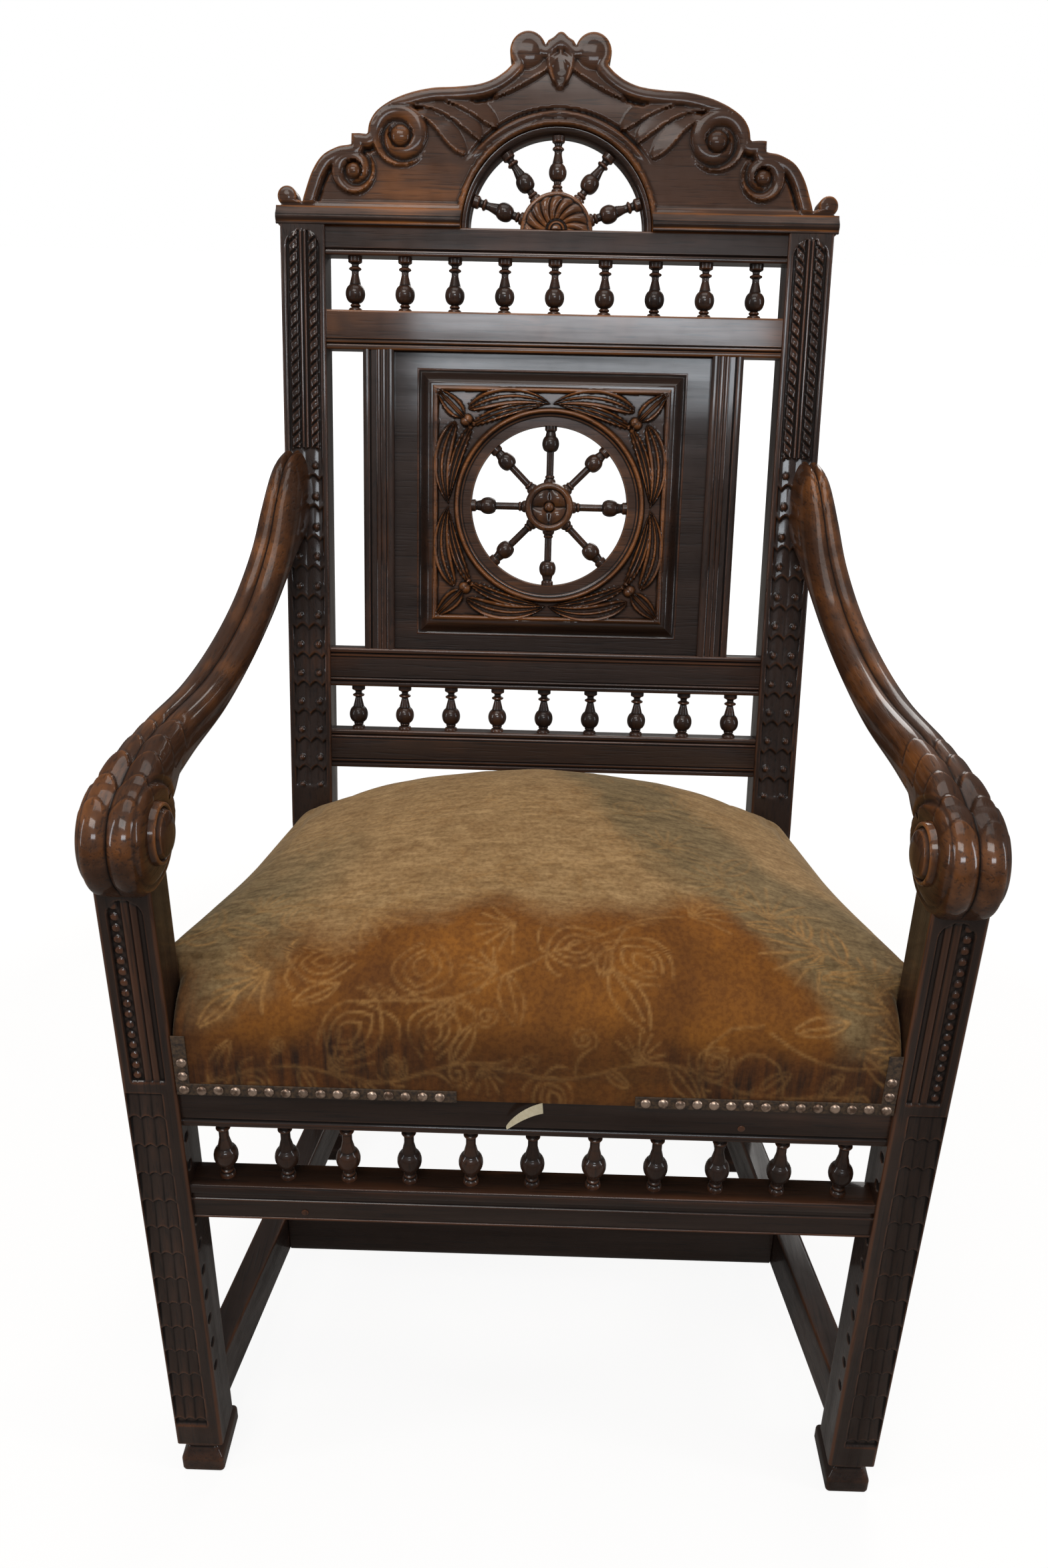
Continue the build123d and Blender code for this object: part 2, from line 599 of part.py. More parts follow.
def carved_square():
    """Square block with the round seat of the wheel, a raised border on its front."""
    front = -SQUARE_RECESS
    panel_rear = -PANEL_RECESS - PANEL_THICK
    rear = min(front - SQUARE_THICK, panel_rear - FIT)
    width, height = SQUARE_WIDTH - 2 * FIT, SQUARE_HEIGHT - 2 * FIT
    body = Pos(0, PANEL_MID, (front + rear) / 2) * Box(width, height, front - rear)
    lip_size = (width + 2 * SQUARE_TONGUE, height + 2 * SQUARE_TONGUE, panel_rear - rear)
    lip = Pos(0, PANEL_MID, (panel_rear + rear) / 2) * Box(*lip_size)
    face_size = (width - 2 * SQUARE_BORDER, height - 2 * SQUARE_BORDER, 2 * CARVING_DEPTH)
    sunk = Pos(0, PANEL_MID, front) * Box(*face_size)
    seat = Pos(0, PANEL_MID, 0) * Cylinder(RING_OUTER + FIT, 2 * EXTRA)
    return BACK * (body + lip - sunk - seat)


def wheel_ring():
    """Rounded ring of the wheel."""
    front = -RING_RECESS
    edge, rear = front - RING_CROWN, front - RING_THICK
    middle = (RING_OUTER + RING_INNER) / 2
    with BuildSketch(Plane.XZ) as profile:
        with BuildLine():
            sides = Polyline((RING_INNER, edge), (RING_INNER, rear), (RING_OUTER, rear),
                             (RING_OUTER, edge))
            ThreePointArc(sides @ 1, (middle, front), (RING_INNER, edge))
        make_face()
    return BACK * Pos(0, PANEL_MID, 0) * revolve(profile.sketch, Axis.Z)


def hub(radius, thick, recess, middle):
    """Turned hub: a rounded rim round a sunk face."""
    front = -recess
    sunk, rear = front - HUB_DISH, front - thick
    with BuildSketch(Plane.XZ) as profile:
        with BuildLine():
            steps = Polyline((0, sunk), (radius * 0.62, sunk), (radius * 0.7, front - HUB_DISH / 4))
            lip = ThreePointArc(steps @ 1, (radius * 0.85, front), (radius, sunk))
            Polyline(lip @ 1, (radius, rear), (0, rear), (0, sunk))
        make_face()
    return Pos(0, middle, 0) * revolve(profile.sketch, Axis.Z)


# ---------------------------------------------------------------- crest

RIM_MID = -RIM_RECESS - RIM_DEPTH / 2


def crest_outline():
    """Right half of the crest's outline, from the top rail round the scrolls to the point."""
    base, end = SLOPE_TOP, POST_OUT
    tip = base + CREST_PEAK
    curl_x, curl_y, curl_r = end - END_CURL[0], base + END_CURL[1], END_CURL_RADIUS
    small_x, small_y, small_r = end - SMALL_EYE[0], base + SMALL_EYE[1], SMALL_EYE_RADIUS
    large_x, large_y, large_r = end - LARGE_EYE[0], base + LARGE_EYE[1], LARGE_EYE_RADIUS
    top_x, top_y, top_r = TOP_SCROLL_OUT, tip - TOP_SCROLL_DROP, TOP_SCROLL_RADIUS
    run, rise = large_x - top_x, top_y - large_y
    with BuildLine() as line:
        foot = Polyline((0, base), (end, base), (end, base + CREST_MOULD_HEIGHT))
        curl = ThreePointArc(foot @ 1, (curl_x, curl_y + curl_r),
                             (curl_x - curl_r, curl_y - curl_r * 0.2))
        neck = Line(curl @ 1, (curl_x - curl_r * 2, curl_y + 2))
        small = Spline(neck @ 1, (small_x + small_r * 1.94, small_y),
                       (small_x + small_r * 1.5, small_y + small_r * 0.78),
                       (small_x + small_r * 0.72, small_y + small_r * 1.11),
                       (small_x, small_y + small_r * 1.22))
        spur = Polyline(small @ 1, (small_x, small_y + small_r * 1.22 + SPUR),
                        (large_x + large_r * 1.5, large_y + large_r * 0.05))
        large = Spline(spur @ 1, (large_x + large_r * 1.35, large_y + large_r * 0.5),
                       (large_x + large_r * 0.3, large_y + large_r * 1.5),
                       (large_x - large_r * 0.7, large_y + large_r * 1.85),
                       (large_x - run * 0.25, large_y + rise * 0.57),
                       (large_x - run * 0.43, large_y + rise * 0.585),
                       (large_x - run * 0.61, large_y + rise * 0.615),
                       (large_x - run * 0.74, large_y + rise * 0.69),
                       (top_x + top_r * 0.69, top_y - top_r * 0.72))
        ball = ThreePointArc(large @ 1, (top_x + top_r * 0.8, top_y + top_r * 0.6),
                             (top_x - top_r * 0.95, top_y + top_r * 0.3))
        Polyline(ball @ 1, (CREST_TIP_GAP * 1.2, tip - CREST_TIP_GAP), (0, tip), (0, base))
    return line.line


def crest_board():
    """Pierced crest: both halves of the outline, the arch, and raised scroll eyes."""
    half = extrude(make_face(crest_outline()), CREST_THICK)
    board = half + mirror(half, Plane.YZ)
    board = Pos(0, 0, -CREST_RECESS - CREST_THICK) * board
    eyes = [(LARGE_EYE, LARGE_EYE_RADIUS), (SMALL_EYE, SMALL_EYE_RADIUS)]
    for (from_end, up), radius in eyes:
        for side in (-1, 1):
            place = Pos(side * (POST_OUT - from_end), SLOPE_TOP + up, -CREST_RECESS)
            board += place * extrude(Circle(radius) - Circle(radius - EYE_LINE), EYE_RELIEF)
            board += place * extrude(Circle(radius * EYE_DOT), EYE_RELIEF)
    arch = Pos(0, SLOPE_TOP, 0) * Cylinder(ARCH_RADIUS, 4 * EXTRA)
    return BACK * (board - arch)


def crest_moulding():
    """Rounded strip along the foot of the crest, right of the arch."""
    high, face = CREST_MOULD_HEIGHT, CREST_MOULD_THICK
    with BuildSketch(Plane.YZ.offset(ARCH_RADIUS)) as profile:
        with BuildLine():
            start = Polyline((high * 0.76, face * 0.5), (high, 0), (0, 0), (0, face * 0.6),
                             (high * 0.18, face * 0.6))
            ThreePointArc(start @ 1, (high * 0.45, face), (high * 0.76, face * 0.5))
        make_face()
    long = POST_OUT - ARCH_RADIUS + CREST_MOULD_OVER
    strip = extrude(profile.sketch, long, dir=(1, 0, 0))
    arch = Cylinder(ARCH_RADIUS + FIT, 4 * EXTRA)
    return BACK * Pos(0, SLOPE_TOP, -CREST_RECESS) * (strip - arch)


def crest_rim():
    """Half ring that lines the arch."""
    outer, inner = ARCH_RADIUS - FIT, ARCH_RADIUS - RIM_THICK
    ring = Cylinder(outer, RIM_DEPTH) - Cylinder(inner, 2 * RIM_DEPTH)
    ring = ring & block(-outer, outer, 0, outer, -RIM_DEPTH, RIM_DEPTH)
    return BACK * Pos(0, SLOPE_TOP, RIM_MID) * ring


def crest_hub():
    """Half hub on the top rail."""
    whole = hub(CREST_HUB_RADIUS, CREST_HUB_THICK, CREST_RECESS, SLOPE_TOP)
    radius = CREST_HUB_RADIUS
    upper = block(-radius, radius, SLOPE_TOP, SLOPE_TOP + radius, -EXTRA, EXTRA)
    return BACK * (whole & upper)


# ---------------------------------------------------------------- arms

ARM_OUT = LEG_OUT + ARM_OVER
ARM_OUT_BACK = POST_OUT + ARM_OVER_BACK


def arm():
    """Right arm: a bar lofted through rounded sections, and the scroll on the leg."""
    sections = []
    for share, low, high, width in ARM_BAR:
        y = SCROLL_Y + (POST_FRONT + ARM_END - SCROLL_Y) * share
        outer = ARM_OUT + (ARM_OUT_BACK - ARM_OUT) * share
        corner = ARM_ROUND * min(width, high - low)
        origin = (outer - width / 2, y, LEG_TOP + (low + high) / 2)
        place = Plane(origin=origin, x_dir=(1, 0, 0), z_dir=(0, 1, 0))
        sections.append(place * RectangleRounded(width, high - low, corner))
    bar = loft(sections)
    middle = ARM_OUT - SCROLL_WIDTH / 2
    scroll = Pos(middle, SCROLL_Y, SCROLL_Z) * Rot(0, 90, 0) * Cylinder(SCROLL_RADIUS, SCROLL_WIDTH)
    scroll = fillet(scroll.edges().filter_by(GeomType.CIRCLE), SCROLL_EDGE)
    behind = back_block(-FRONT_WIDTH, FRONT_WIDTH, -EXTRA, SLOPE_TOP, -POST_FRONT, 0)
    whole = bar + scroll - behind
    leg_room = block(LEG_IN - EXTRA, LEG_OUT + EXTRA, 0, LEG_DEPTH, 0, LEG_TOP)
    return whole - leg_room - arm_tenon(FIT)


def arm_boss():
    """Turned button on the inner side of the right scroll."""
    face = ARM_OUT - SCROLL_WIDTH - FIT
    ledge, step = BOSS_STEP
    edge, rise = BOSS_RADIUS - ledge, BOSS_HEIGHT - step
    dome_radius = (edge ** 2 + rise ** 2) / (2 * rise)
    half_way = edge / 2
    half_high = BOSS_HEIGHT - dome_radius + sqrt(dome_radius ** 2 - half_way ** 2)
    with BuildSketch(Plane.XZ) as profile:
        with BuildLine():
            foot = Polyline((0, 0), (BOSS_RADIUS, 0), (BOSS_RADIUS, step * 0.75), (edge, step))
            dome = ThreePointArc(foot @ 1, (half_way, half_high), (0, BOSS_HEIGHT))
            Line(dome @ 1, (0, 0))
        make_face()
    button = revolve(profile.sketch, Axis.Z)
    return Pos(face, SCROLL_Y, SCROLL_Z + BOSS_RISE) * Rot(0, -90, 0) * button


# ---------------------------------------------------------------- seat

SEAT_FRONT = SEAT_CROWN_FRONT[0][0]
SEAT_FRONT_EDGE = SEAT_RAIL_TOP + SEAT_CROWN_FRONT[0][1]


def seat_section(y, side_rise, middle_rise):
    """Section of the seat across the chair: an arched top on two upright sides."""
    half = side_x(max(y, LEG_DEPTH)) + SIDE_THICK / 2 + SEAT_SKIRT_THICK
    side_high, middle_high = SEAT_RAIL_TOP + side_rise, SEAT_RAIL_TOP + middle_rise
    with BuildSketch(Plane(origin=(0, y, 0), x_dir=(1, 0, 0), z_dir=(0, -1, 0))) as section:
        with BuildLine():
            lower = Polyline((half, side_high), (half, SEAT_RAIL_Z), (-half, SEAT_RAIL_Z),
                             (-half, side_high))
            ThreePointArc(lower @ 1, (0, middle_high), (half, side_high))
        make_face()
    return section.sketch


def seat_cushion():
    """Stuffed seat over the rails: crowned top, a skirt outside them, filled to the webs."""
    sections = [seat_section(*station) for station in SEAT_CROWN_FRONT]
    for before_post, side_rise, middle_rise in SEAT_CROWN_REAR:
        sections.append(seat_section(POST_FRONT - before_post, side_rise, middle_rise))
    body = loft(sections, ruled=True)
    gap = SEAT_CLEAR
    under, wide = SEAT_RAIL_TOP + gap, FRONT_WIDTH
    # room for the rails, which the cover wraps on the outside, and for the legs
    front_rail_back = RAIL_SETBACK + FRONT_RAIL_THICK + gap
    body -= block(-wide, wide, RAIL_SETBACK - gap, front_rail_back, 0, under)
    half = SIDE_THICK / 2 + gap
    corners = [(LEG_DEPTH - EXTRA, LEG_DEPTH), (LEG_DEPTH, LEG_DEPTH), (POST_FRONT, POST_FRONT)]
    outer = [(side_x(at) + half, y) for y, at in corners]
    inner = [(side_x(at) - half, y) for y, at in reversed(corners)]
    rail = prism(outer + inner, Plane.XY, under)
    leg = block(LEG_IN - gap, LEG_OUT + EXTRA, -EXTRA, LEG_DEPTH + gap, 0, LEG_TOP)
    for room in (rail, leg, mirrored(rail), mirrored(leg)):
        body -= room
    # the skirt ends above the lower edge of the rails, and inside them it fills to the webs
    narrow = side_x(POST_FRONT) - half
    ring = block(-wide, wide, -EXTRA, POST_FRONT, 0, SKIRT_Z)
    ring -= block(-narrow, narrow, front_rail_back, POST_FRONT, 0, SKIRT_Z)
    return body - ring


def seat_webbing():
    """Webs tacked under the rails: some run back, some across, one layer on the other."""
    straps = []
    y0, y1 = RAIL_SETBACK + FRONT_RAIL_THICK - WEB_LAP, POST_FRONT + WEB_LAP
    top = SEAT_RAIL_Z
    along_pitch = 2 * (POST_IN - WEB_WIDTH / 2) / SEAT_WEBS_ALONG
    for index in range(SEAT_WEBS_ALONG):
        x = (index - (SEAT_WEBS_ALONG - 1) / 2) * along_pitch
        straps.append(block(x - WEB_WIDTH / 2, x + WEB_WIDTH / 2, y0, y1, top - WEB_THICK, top))
    across_pitch = (POST_FRONT - LEG_DEPTH) / SEAT_WEBS_ACROSS
    for index in range(SEAT_WEBS_ACROSS):
        y = LEG_DEPTH + (index + 0.5) * across_pitch
        half = side_x(y)
        straps.append(block(-half, half, y - WEB_WIDTH / 2, y + WEB_WIDTH / 2,
                            top - 2 * WEB_THICK - FIT, top - WEB_THICK - FIT))
    return Compound(children=straps)


def seat_braid():
    """Braid over the lower edge of the cover, in two lengths either side of the tear."""
    front = SEAT_FRONT - SEAT_CLEAR
    back, end = front - BRAID_THICK, LEG_IN - SEAT_CLEAR
    top = SKIRT_Z + BRAID_HEIGHT
    pieces = []
    for x0, x1 in [(-end, TORN_GAP[0]), (TORN_GAP[1], end)]:
        pieces.append(block(x0, x1, back, front, SKIRT_Z, top))
    for side in (-1, 1):
        x0, x1 = sorted((side * end, side * (end - BRAID_HEIGHT)))
        pieces.append(block(x0, x1, back, front, top + FIT, SEAT_FRONT_EDGE))
    return Compound(children=pieces)


def nail():
    """Nail head with flat facets, standing on its back."""
    lower = RegularPolygon(NAIL_RADIUS, NAIL_SIDES)
    upper = Pos(0, 0, NAIL_HEIGHT) * RegularPolygon(NAIL_RADIUS * NAIL_TOP, NAIL_SIDES)
    return loft([lower, upper])


def seat_nails():
    """Nail heads along the front of the seat and up beside both legs."""
    head = nail()
    face = SEAT_FRONT - SEAT_CLEAR - BRAID_THICK - FIT
    z = SKIRT_Z + BRAID_HEIGHT / 2
    half = LEG_IN - NAIL_RADIUS - NAIL_EDGE
    count = int(2 * half / NAIL_PITCH)
    heads = []
    for index in range(count + 1):
        x = -half + 2 * half * index / count
        if not TORN_GAP[0] - NAIL_RADIUS < x < TORN_GAP[1] + NAIL_RADIUS:
            heads.append(Pos(x, face, z) * Rot(90, 0, 0) * head)
    for index in range(1, int((SEAT_FRONT_EDGE - z) / NAIL_PITCH)):
        for x in (-half, half):
            heads.append(Pos(x, face, z + index * NAIL_PITCH) * Rot(90, 0, 0) * head)
    return Compound(children=heads)


def rail_pegs():
    """Two peg heads that stand a little proud of the front rails."""
    pegs = []
    for (x, up), low in [(PEG_ON_SEAT_RAIL, SEAT_RAIL_Z), (PEG_ON_GALLERY_RAIL, GALLERY_RAIL_Z)]:
        place = Pos(x, RAIL_SETBACK - PEG_STAND / 2, low + up) * Rot(90, 0, 0)
        pegs.append(place * Cylinder(PEG_RADIUS, PEG_STAND))
    return Compound(children=pegs)


# ---------------------------------------------------------------- the assembly

def assembly():
    """Every piece of the chair by name, in the modelling frame."""
    pieces = {}
    pairs = {
        "front_leg": front_leg(),
        "back_post": back_post(),
        "front_shoe": shoe((LEG_IN + LEG_OUT) / 2, 0, LEG_DEPTH + SHOE_HEEL),
        "rear_shoe": shoe((POST_IN + POST_OUT) / 2, POST_FRONT + POST_DEPTH,
                          POST_FRONT - SHOE_HEEL),
        "side_seat_rail": side_seat_rail(),
        "side_stretcher": side_stretcher(),
        "panel_stile": stile(),
        "crest_moulding": crest_moulding(),
        "arm": arm(),
        "arm_boss": arm_boss(),
    }
    for name, right in pairs.items():
        pieces[name + "_right"] = right
        pieces[name + "_left"] = mirrored(right)
    pieces["front_seat_rail"] = front_seat_rail()
    pieces["rear_seat_rail"] = rear_seat_rail()
    pieces["gallery_rail"] = gallery_rail()
    pieces["front_gallery_spindles"] = front_gallery()
    pieces["cross_stretcher"] = cross_stretcher()
    for name, rail in BACK_RAILS.items():
        pieces[name] = back_rail(rail)
    pieces["lower_gallery_spindles"] = back_gallery(BOTTOM_RAIL[1], THIRD_RAIL[0])
    pieces["upper_gallery_spindles"] = back_gallery(SECOND_RAIL[1], TOP_RAIL[0])
    pieces["back_panel"] = panel()
    pieces["panel_bevel"] = bevel_frame()
    pieces["carved_square"] = carved_square()
    pieces["wheel_ring"] = wheel_ring()
    pieces["wheel_hub"] = BACK * hub(HUB_RADIUS, HUB_THICK, HUB_RECESS, PANEL_MID)
    round_turns = [360.0 * index / SPOKES for index in range(SPOKES)]
    pieces["wheel_spokes"] = wheel_spokes(round_turns, HUB_RADIUS, RING_INNER, PANEL_MID,
                                          SPOKE_BALL_SHARE, -RING_RECESS - RING_THICK / 2)
    pieces["crest_board"] = crest_board()
    pieces["crest_rim"] = crest_rim()
    pieces["crest_hub"] = crest_hub()
    fan_turns = [180.0 * (index + 0.5) / CREST_SPOKES for index in range(CREST_SPOKES)]
    pieces["crest_spokes"] = wheel_spokes(fan_turns, CREST_HUB_RADIUS, ARCH_RADIUS - RIM_THICK,
                                          SLOPE_TOP, CREST_BALL_SHARE, RIM_MID)
    pieces["seat_cushion"] = seat_cushion()
    pieces["seat_webbing"] = seat_webbing()
    pieces["seat_braid"] = seat_braid()
    pieces["seat_nails"] = seat_nails()
    pieces["rail_pegs"] = rail_pegs()
    return pieces


def placed(piece):
    """The piece in the chair's own frame; a group keeps its solids apart."""
    solids = [Pos(0, Y_SHIFT, 0) * solid for solid in piece.solids()]
    return solids[0] if len(solids) == 1 else Compound(solids)


os.makedirs("parts", exist_ok=True)
for name, piece in assembly().items():
    export_step(placed(piece), "parts/" + name + ".step")
    print(name, len(piece.solids()))
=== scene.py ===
# %% [markdown]
# # A carved oak armchair with a wheel in its back
#
# This notebook dresses a chair whose wooden pieces already exist as plain solids.
# Each solid keeps its size and its place. What is made here is what a carver, a turner,
# a polisher and an upholsterer would add: mouldings, leaves, pearls, wear and cloth.

# %% Load the fixed frame
import math

import bmesh
import bpy
import numpy as np
from mathutils import Matrix, Vector
from mathutils.geometry import delaunay_2d_cdt


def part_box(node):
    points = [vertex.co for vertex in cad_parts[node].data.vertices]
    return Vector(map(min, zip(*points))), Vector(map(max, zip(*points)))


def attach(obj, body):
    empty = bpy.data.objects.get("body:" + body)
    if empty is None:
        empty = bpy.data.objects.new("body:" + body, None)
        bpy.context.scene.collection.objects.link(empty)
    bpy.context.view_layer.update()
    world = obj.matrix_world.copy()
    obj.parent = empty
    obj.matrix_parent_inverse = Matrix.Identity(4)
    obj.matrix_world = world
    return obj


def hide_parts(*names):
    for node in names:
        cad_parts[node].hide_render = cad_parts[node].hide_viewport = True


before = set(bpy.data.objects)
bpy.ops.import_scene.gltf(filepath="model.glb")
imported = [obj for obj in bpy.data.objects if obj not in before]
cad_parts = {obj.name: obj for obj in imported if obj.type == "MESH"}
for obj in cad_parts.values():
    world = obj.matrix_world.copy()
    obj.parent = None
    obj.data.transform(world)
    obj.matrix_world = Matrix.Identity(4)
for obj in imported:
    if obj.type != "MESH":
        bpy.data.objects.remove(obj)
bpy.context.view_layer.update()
print("pieces in the frame:", len(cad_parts))

# %% [markdown]
# ## Measuring the frame
#
# A joiner marks out from the piece in hand, not from memory. The main sizes below are read
# from the solids, in millimetres, with Y = 0 at the front of the front legs, so a change
# in the frame carries through to the carving; others are given as numbers. The back leans,
# so a second pair of axes helps: s runs up its slope from the knee of the posts, n stands
# out of its front.

# %% Sizes and places read from the frame, in millimetres
FRONT_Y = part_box("front_leg_right")[0].y * 1000


def corners(node):
    """Lowest and highest corner of a solid, in mm, from the front of the front legs."""
    low, high = (np.array(corner) * 1000 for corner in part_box(node))
    low[1] -= FRONT_Y
    high[1] -= FRONT_Y
    return low, high


LEG_LOW, LEG_HIGH = corners("front_leg_right")
POST_LOW, POST_HIGH = corners("back_post_right")
POST_FRONT, POST_DEPTH = POST_LOW[1], 38.0
RAKE, KNEE = math.radians(12.4), 462.0
SIN, COS = math.sin(RAKE), math.cos(RAKE)
print("leg", LEG_LOW, LEG_HIGH, "post", POST_LOW, POST_HIGH)


def leaning(x, s, n):
    """Points of the back: across, up its slope and out of its front, on the last axis."""
    x, s, n = np.broadcast_arrays(x, s, n)
    return np.stack([x, POST_FRONT + s * SIN - n * COS, KNEE + s * COS + n * SIN], axis=-1)


def slope(z):
    """How far up the slope a height on the front of the posts is."""
    return (z - KNEE) / COS


RAILS = {}
for rail_name in ("bottom_back_rail", "third_back_rail", "second_back_rail", "top_back_rail"):
    rail_low, rail_high = corners(rail_name)
    # the lowest point is the rear lower edge, and the highest the front upper edge
    RAILS[rail_name] = (slope(rail_low[2] + 28 * SIN), slope(rail_high[2] + 4 * SIN))
SLOPE_TOP = RAILS["top_back_rail"][1]
print({name: np.round(ends, 1) for name, ends in RAILS.items()})
print("crest starts at", round(SLOPE_TOP, 1))

# %% [markdown]
# ## From arrays to meshes
#
# Every new piece is a grid of points worked out as whole numpy arrays: rows are stations
# along the piece, columns run round it. A bar is a row of closed loops with both ends
# drawn in to a point. The alternative is to push vertices by hand, which can't be
# changed afterwards. One function turns grids into a closed mesh that faces outwards.
#
# It also marks how sharply each point is bent. Old oak is dark in its hollows, where
# polish and dust gather, and warm on its edges, where hands rub it: the finish reads
# that mark and paints both, and darkens the hollows further as painted shade.

# %% Grids and closed tubes
def grid_quads(rows, columns, wrap=False):
    """Corners of the quads between the points of a grid; wrap joins last column to first."""
    number = np.arange(rows * columns).reshape(rows, columns)
    if wrap:
        number = np.hstack([number, number[:, :1]])
    sides = [number[:-1, :-1], number[:-1, 1:], number[1:, 1:], number[1:, :-1]]
    return np.stack(sides, axis=-1).reshape(-1, 4)


def looped(loops):
    """The skin over loops of points (station, around, xyz), open at its first and last."""
    return loops.reshape(-1, 3), grid_quads(*loops.shape[:2], wrap=True)


def shut(loop):
    """A loop of as many points, all in the middle of this one."""
    return np.repeat(loop.mean(axis=1, keepdims=True), loop.shape[1], axis=1)


def tube(loops):
    """The skin over loops with both ends shut to a point."""
    return looped(np.concatenate([shut(loops[:1]), loops, shut(loops[-1:])]))


def mirrored(surface):
    """The same skin on the other side of the chair."""
    points, quads = surface
    return points * (-1, 1, 1), quads


# %% The mark of wear and of painted shade
def mark_wear_and_shade(mesh, reach):
    """Stores the bend of the surface at each point: 1 on an edge rounded to the radius
    reach in metres or less, -1 in a hollow as tight, 0 on the flat."""
    count = len(mesh.vertices)
    points, normals = np.zeros((2, count * 3), np.float32)
    mesh.vertices.foreach_get("co", points)
    mesh.vertex_normals.foreach_get("vector", normals)
    points, normals = points.reshape(-1, 3), normals.reshape(-1, 3)
    ends = np.zeros(len(mesh.edges) * 2, np.int32)
    mesh.edges.foreach_get("vertices", ends)
    one, other = ends.reshape(-1, 2).T
    step = points[other] - points[one]
    square = np.maximum((step ** 2).sum(axis=1), 1e-12)
    tally = np.bincount(ends, minlength=count).clip(1)
    bend = np.bincount(one, -2 * (step * normals[one]).sum(axis=1) / square, count)
    bend += np.bincount(other, 2 * (step * normals[other]).sum(axis=1) / square, count)
    wear_and_shade = np.clip(bend / tally * reach, -1, 1)
    for _ in range(2):
        around = np.bincount(one, wear_and_shade[other], count) + np.bincount(other, wear_and_shade[one], count)
        wear_and_shade = (wear_and_shade + around / tally) / 2
    store(mesh, "wear_and_shade", wear_and_shade)


def store(mesh, name, values):
    """Keeps one number for each point of a mesh, for a finish to read."""
    attribute = mesh.attributes.new(name, "FLOAT", "POINT")
    attribute.data.foreach_set("value", np.asarray(values, np.float32))


# %% One function makes every piece
def make_piece(name, surfaces, finish, nodes, slot, sharp=38, reach=2.5):
    """Joins skins, given as (points in mm, quads), into one closed mesh facing outwards.
    It rides on the chair and stands for the solids that nodes names."""
    starts = np.cumsum([0] + [len(points) for points, _ in surfaces])
    points = np.concatenate([points for points, _ in surfaces])
    points = (points + (0, FRONT_Y, 0)) / 1000
    faces = [tuple(corner + start for corner in face)
             for (_, polygons), start in zip(surfaces, starts)
             for face in np.asarray(polygons, object).tolist()]
    mesh = bpy.data.meshes.new(name)
    mesh.from_pydata(points.tolist(), [], faces)
    work = bmesh.new()
    work.from_mesh(mesh)
    bmesh.ops.remove_doubles(work, verts=work.verts, dist=2e-6)
    bmesh.ops.recalc_face_normals(work, faces=work.faces)
    open_edges = sum(edge.is_boundary for edge in work.edges)
    volume = work.calc_volume(signed=True)
    work.to_mesh(mesh)
    work.free()
    mesh.shade_smooth()
    mesh.set_sharp_from_angle(angle=math.radians(sharp))
    mark_wear_and_shade(mesh, reach / 1000)
    mesh.materials.append(finish)
    piece = bpy.data.objects.new(name, mesh)
    bpy.context.scene.collection.objects.link(piece)
    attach(piece, "root")
    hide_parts(*nodes)
    print(f"{name}: {len(mesh.polygons)} faces, {volume * 1e6:.1f} cm3, open edges {open_edges}")
    return piece


def make_pair(name, surface, finish, node, slot, **settings):
    """The right piece and its mirror image on the left, for a solid on either side."""
    for side, copy in (("right", surface), ("left", mirrored(surface))):
        make_piece(f"{name}_{side}", [copy], finish, [f"{node}_{side}"], slot, **settings)


def dress_solid(node, finish):
    """A solid that stays as it is takes only a finish."""
    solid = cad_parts[node]
    solid.data.materials.clear()
    solid.data.materials.append(finish)


# %% [markdown]
# ## The carver's marks
#
# A carving is a height over a flat face, so each motif is a function from places to
# heights between 0 and 1: a ridge, a pearl, a leaf on a curved spine, a coiled scroll.
# Motifs are joined by taking the higher of the two, as if one lay over the other.

# %% Ridges, curves and the distance to a curve
def ease(value, low, high):
    """0 below low, 1 above high, and a smooth rise between them."""
    share = np.clip((value - low) / (high - low), 0, 1)
    return share * share * (3 - 2 * share)


def ridge(distance, half):
    """A half-round ridge: 1 in its middle and 0 from half its width outwards."""
    return np.sqrt(np.clip(1 - (distance / half) ** 2, 0, 1))


def bow(start, pull, end, count=18):
    """Points on the curve that leaves start towards pull and arrives at end from it."""
    share = np.linspace(0, 1, count)[:, None]
    start, pull, end = (np.array(point, float) for point in (start, pull, end))
    return (1 - share) ** 2 * start + 2 * share * (1 - share) * pull + share ** 2 * end


def along(x, y, path):
    """For each place: the share of the path's length at its nearest point, and the
    distance to it, positive on the left of the path."""
    steps = np.diff(path, axis=0)
    lengths = np.hypot(*steps.T)
    starts = np.concatenate([[0], np.cumsum(lengths)])
    nearest = np.full(np.shape(x), np.inf)
    share, side = np.zeros(np.shape(x)), np.zeros(np.shape(x))
    for (px, py), (dx, dy), length, start in zip(path, steps, lengths, starts):
        if length == 0:
            continue
        across, up = x - px, y - py
        reach = np.clip((across * dx + up * dy) / length ** 2, 0, 1)
        away = np.hypot(across - reach * dx, up - reach * dy)
        closer = away < nearest
        nearest = np.where(closer, away, nearest)
        share = np.where(closer, (start + reach * length) / starts[-1], share)
        side = np.where(closer, np.copysign(away, dx * up - dy * across), side)
    return share, side


# %% Leaves and scrolls
def leaf(x, y, path, width, tilted=False):
    """A hollow leaf with a raised edge and midrib. Its outline swells as a sine over the path
    and is pointed at both ends. A tilted one is a plain slope, low on its left, high on its
    right."""
    share, side = along(x, y, path)
    swell = np.sin(np.pi * np.clip(share, 0, 1) ** 0.75) ** 0.7
    place = side / (width * swell + 0.01)
    inside = ease(1.04 - np.abs(place), 0, 0.16)
    if tilted:
        return inside * (0.5 - 0.42 * np.clip(place, -1, 1))
    edge, rib = ridge(np.abs(place) - 0.8, 0.26), ridge(place, 0.16)
    return inside * (0.42 + 0.58 * np.maximum(edge, 0.75 * rib))


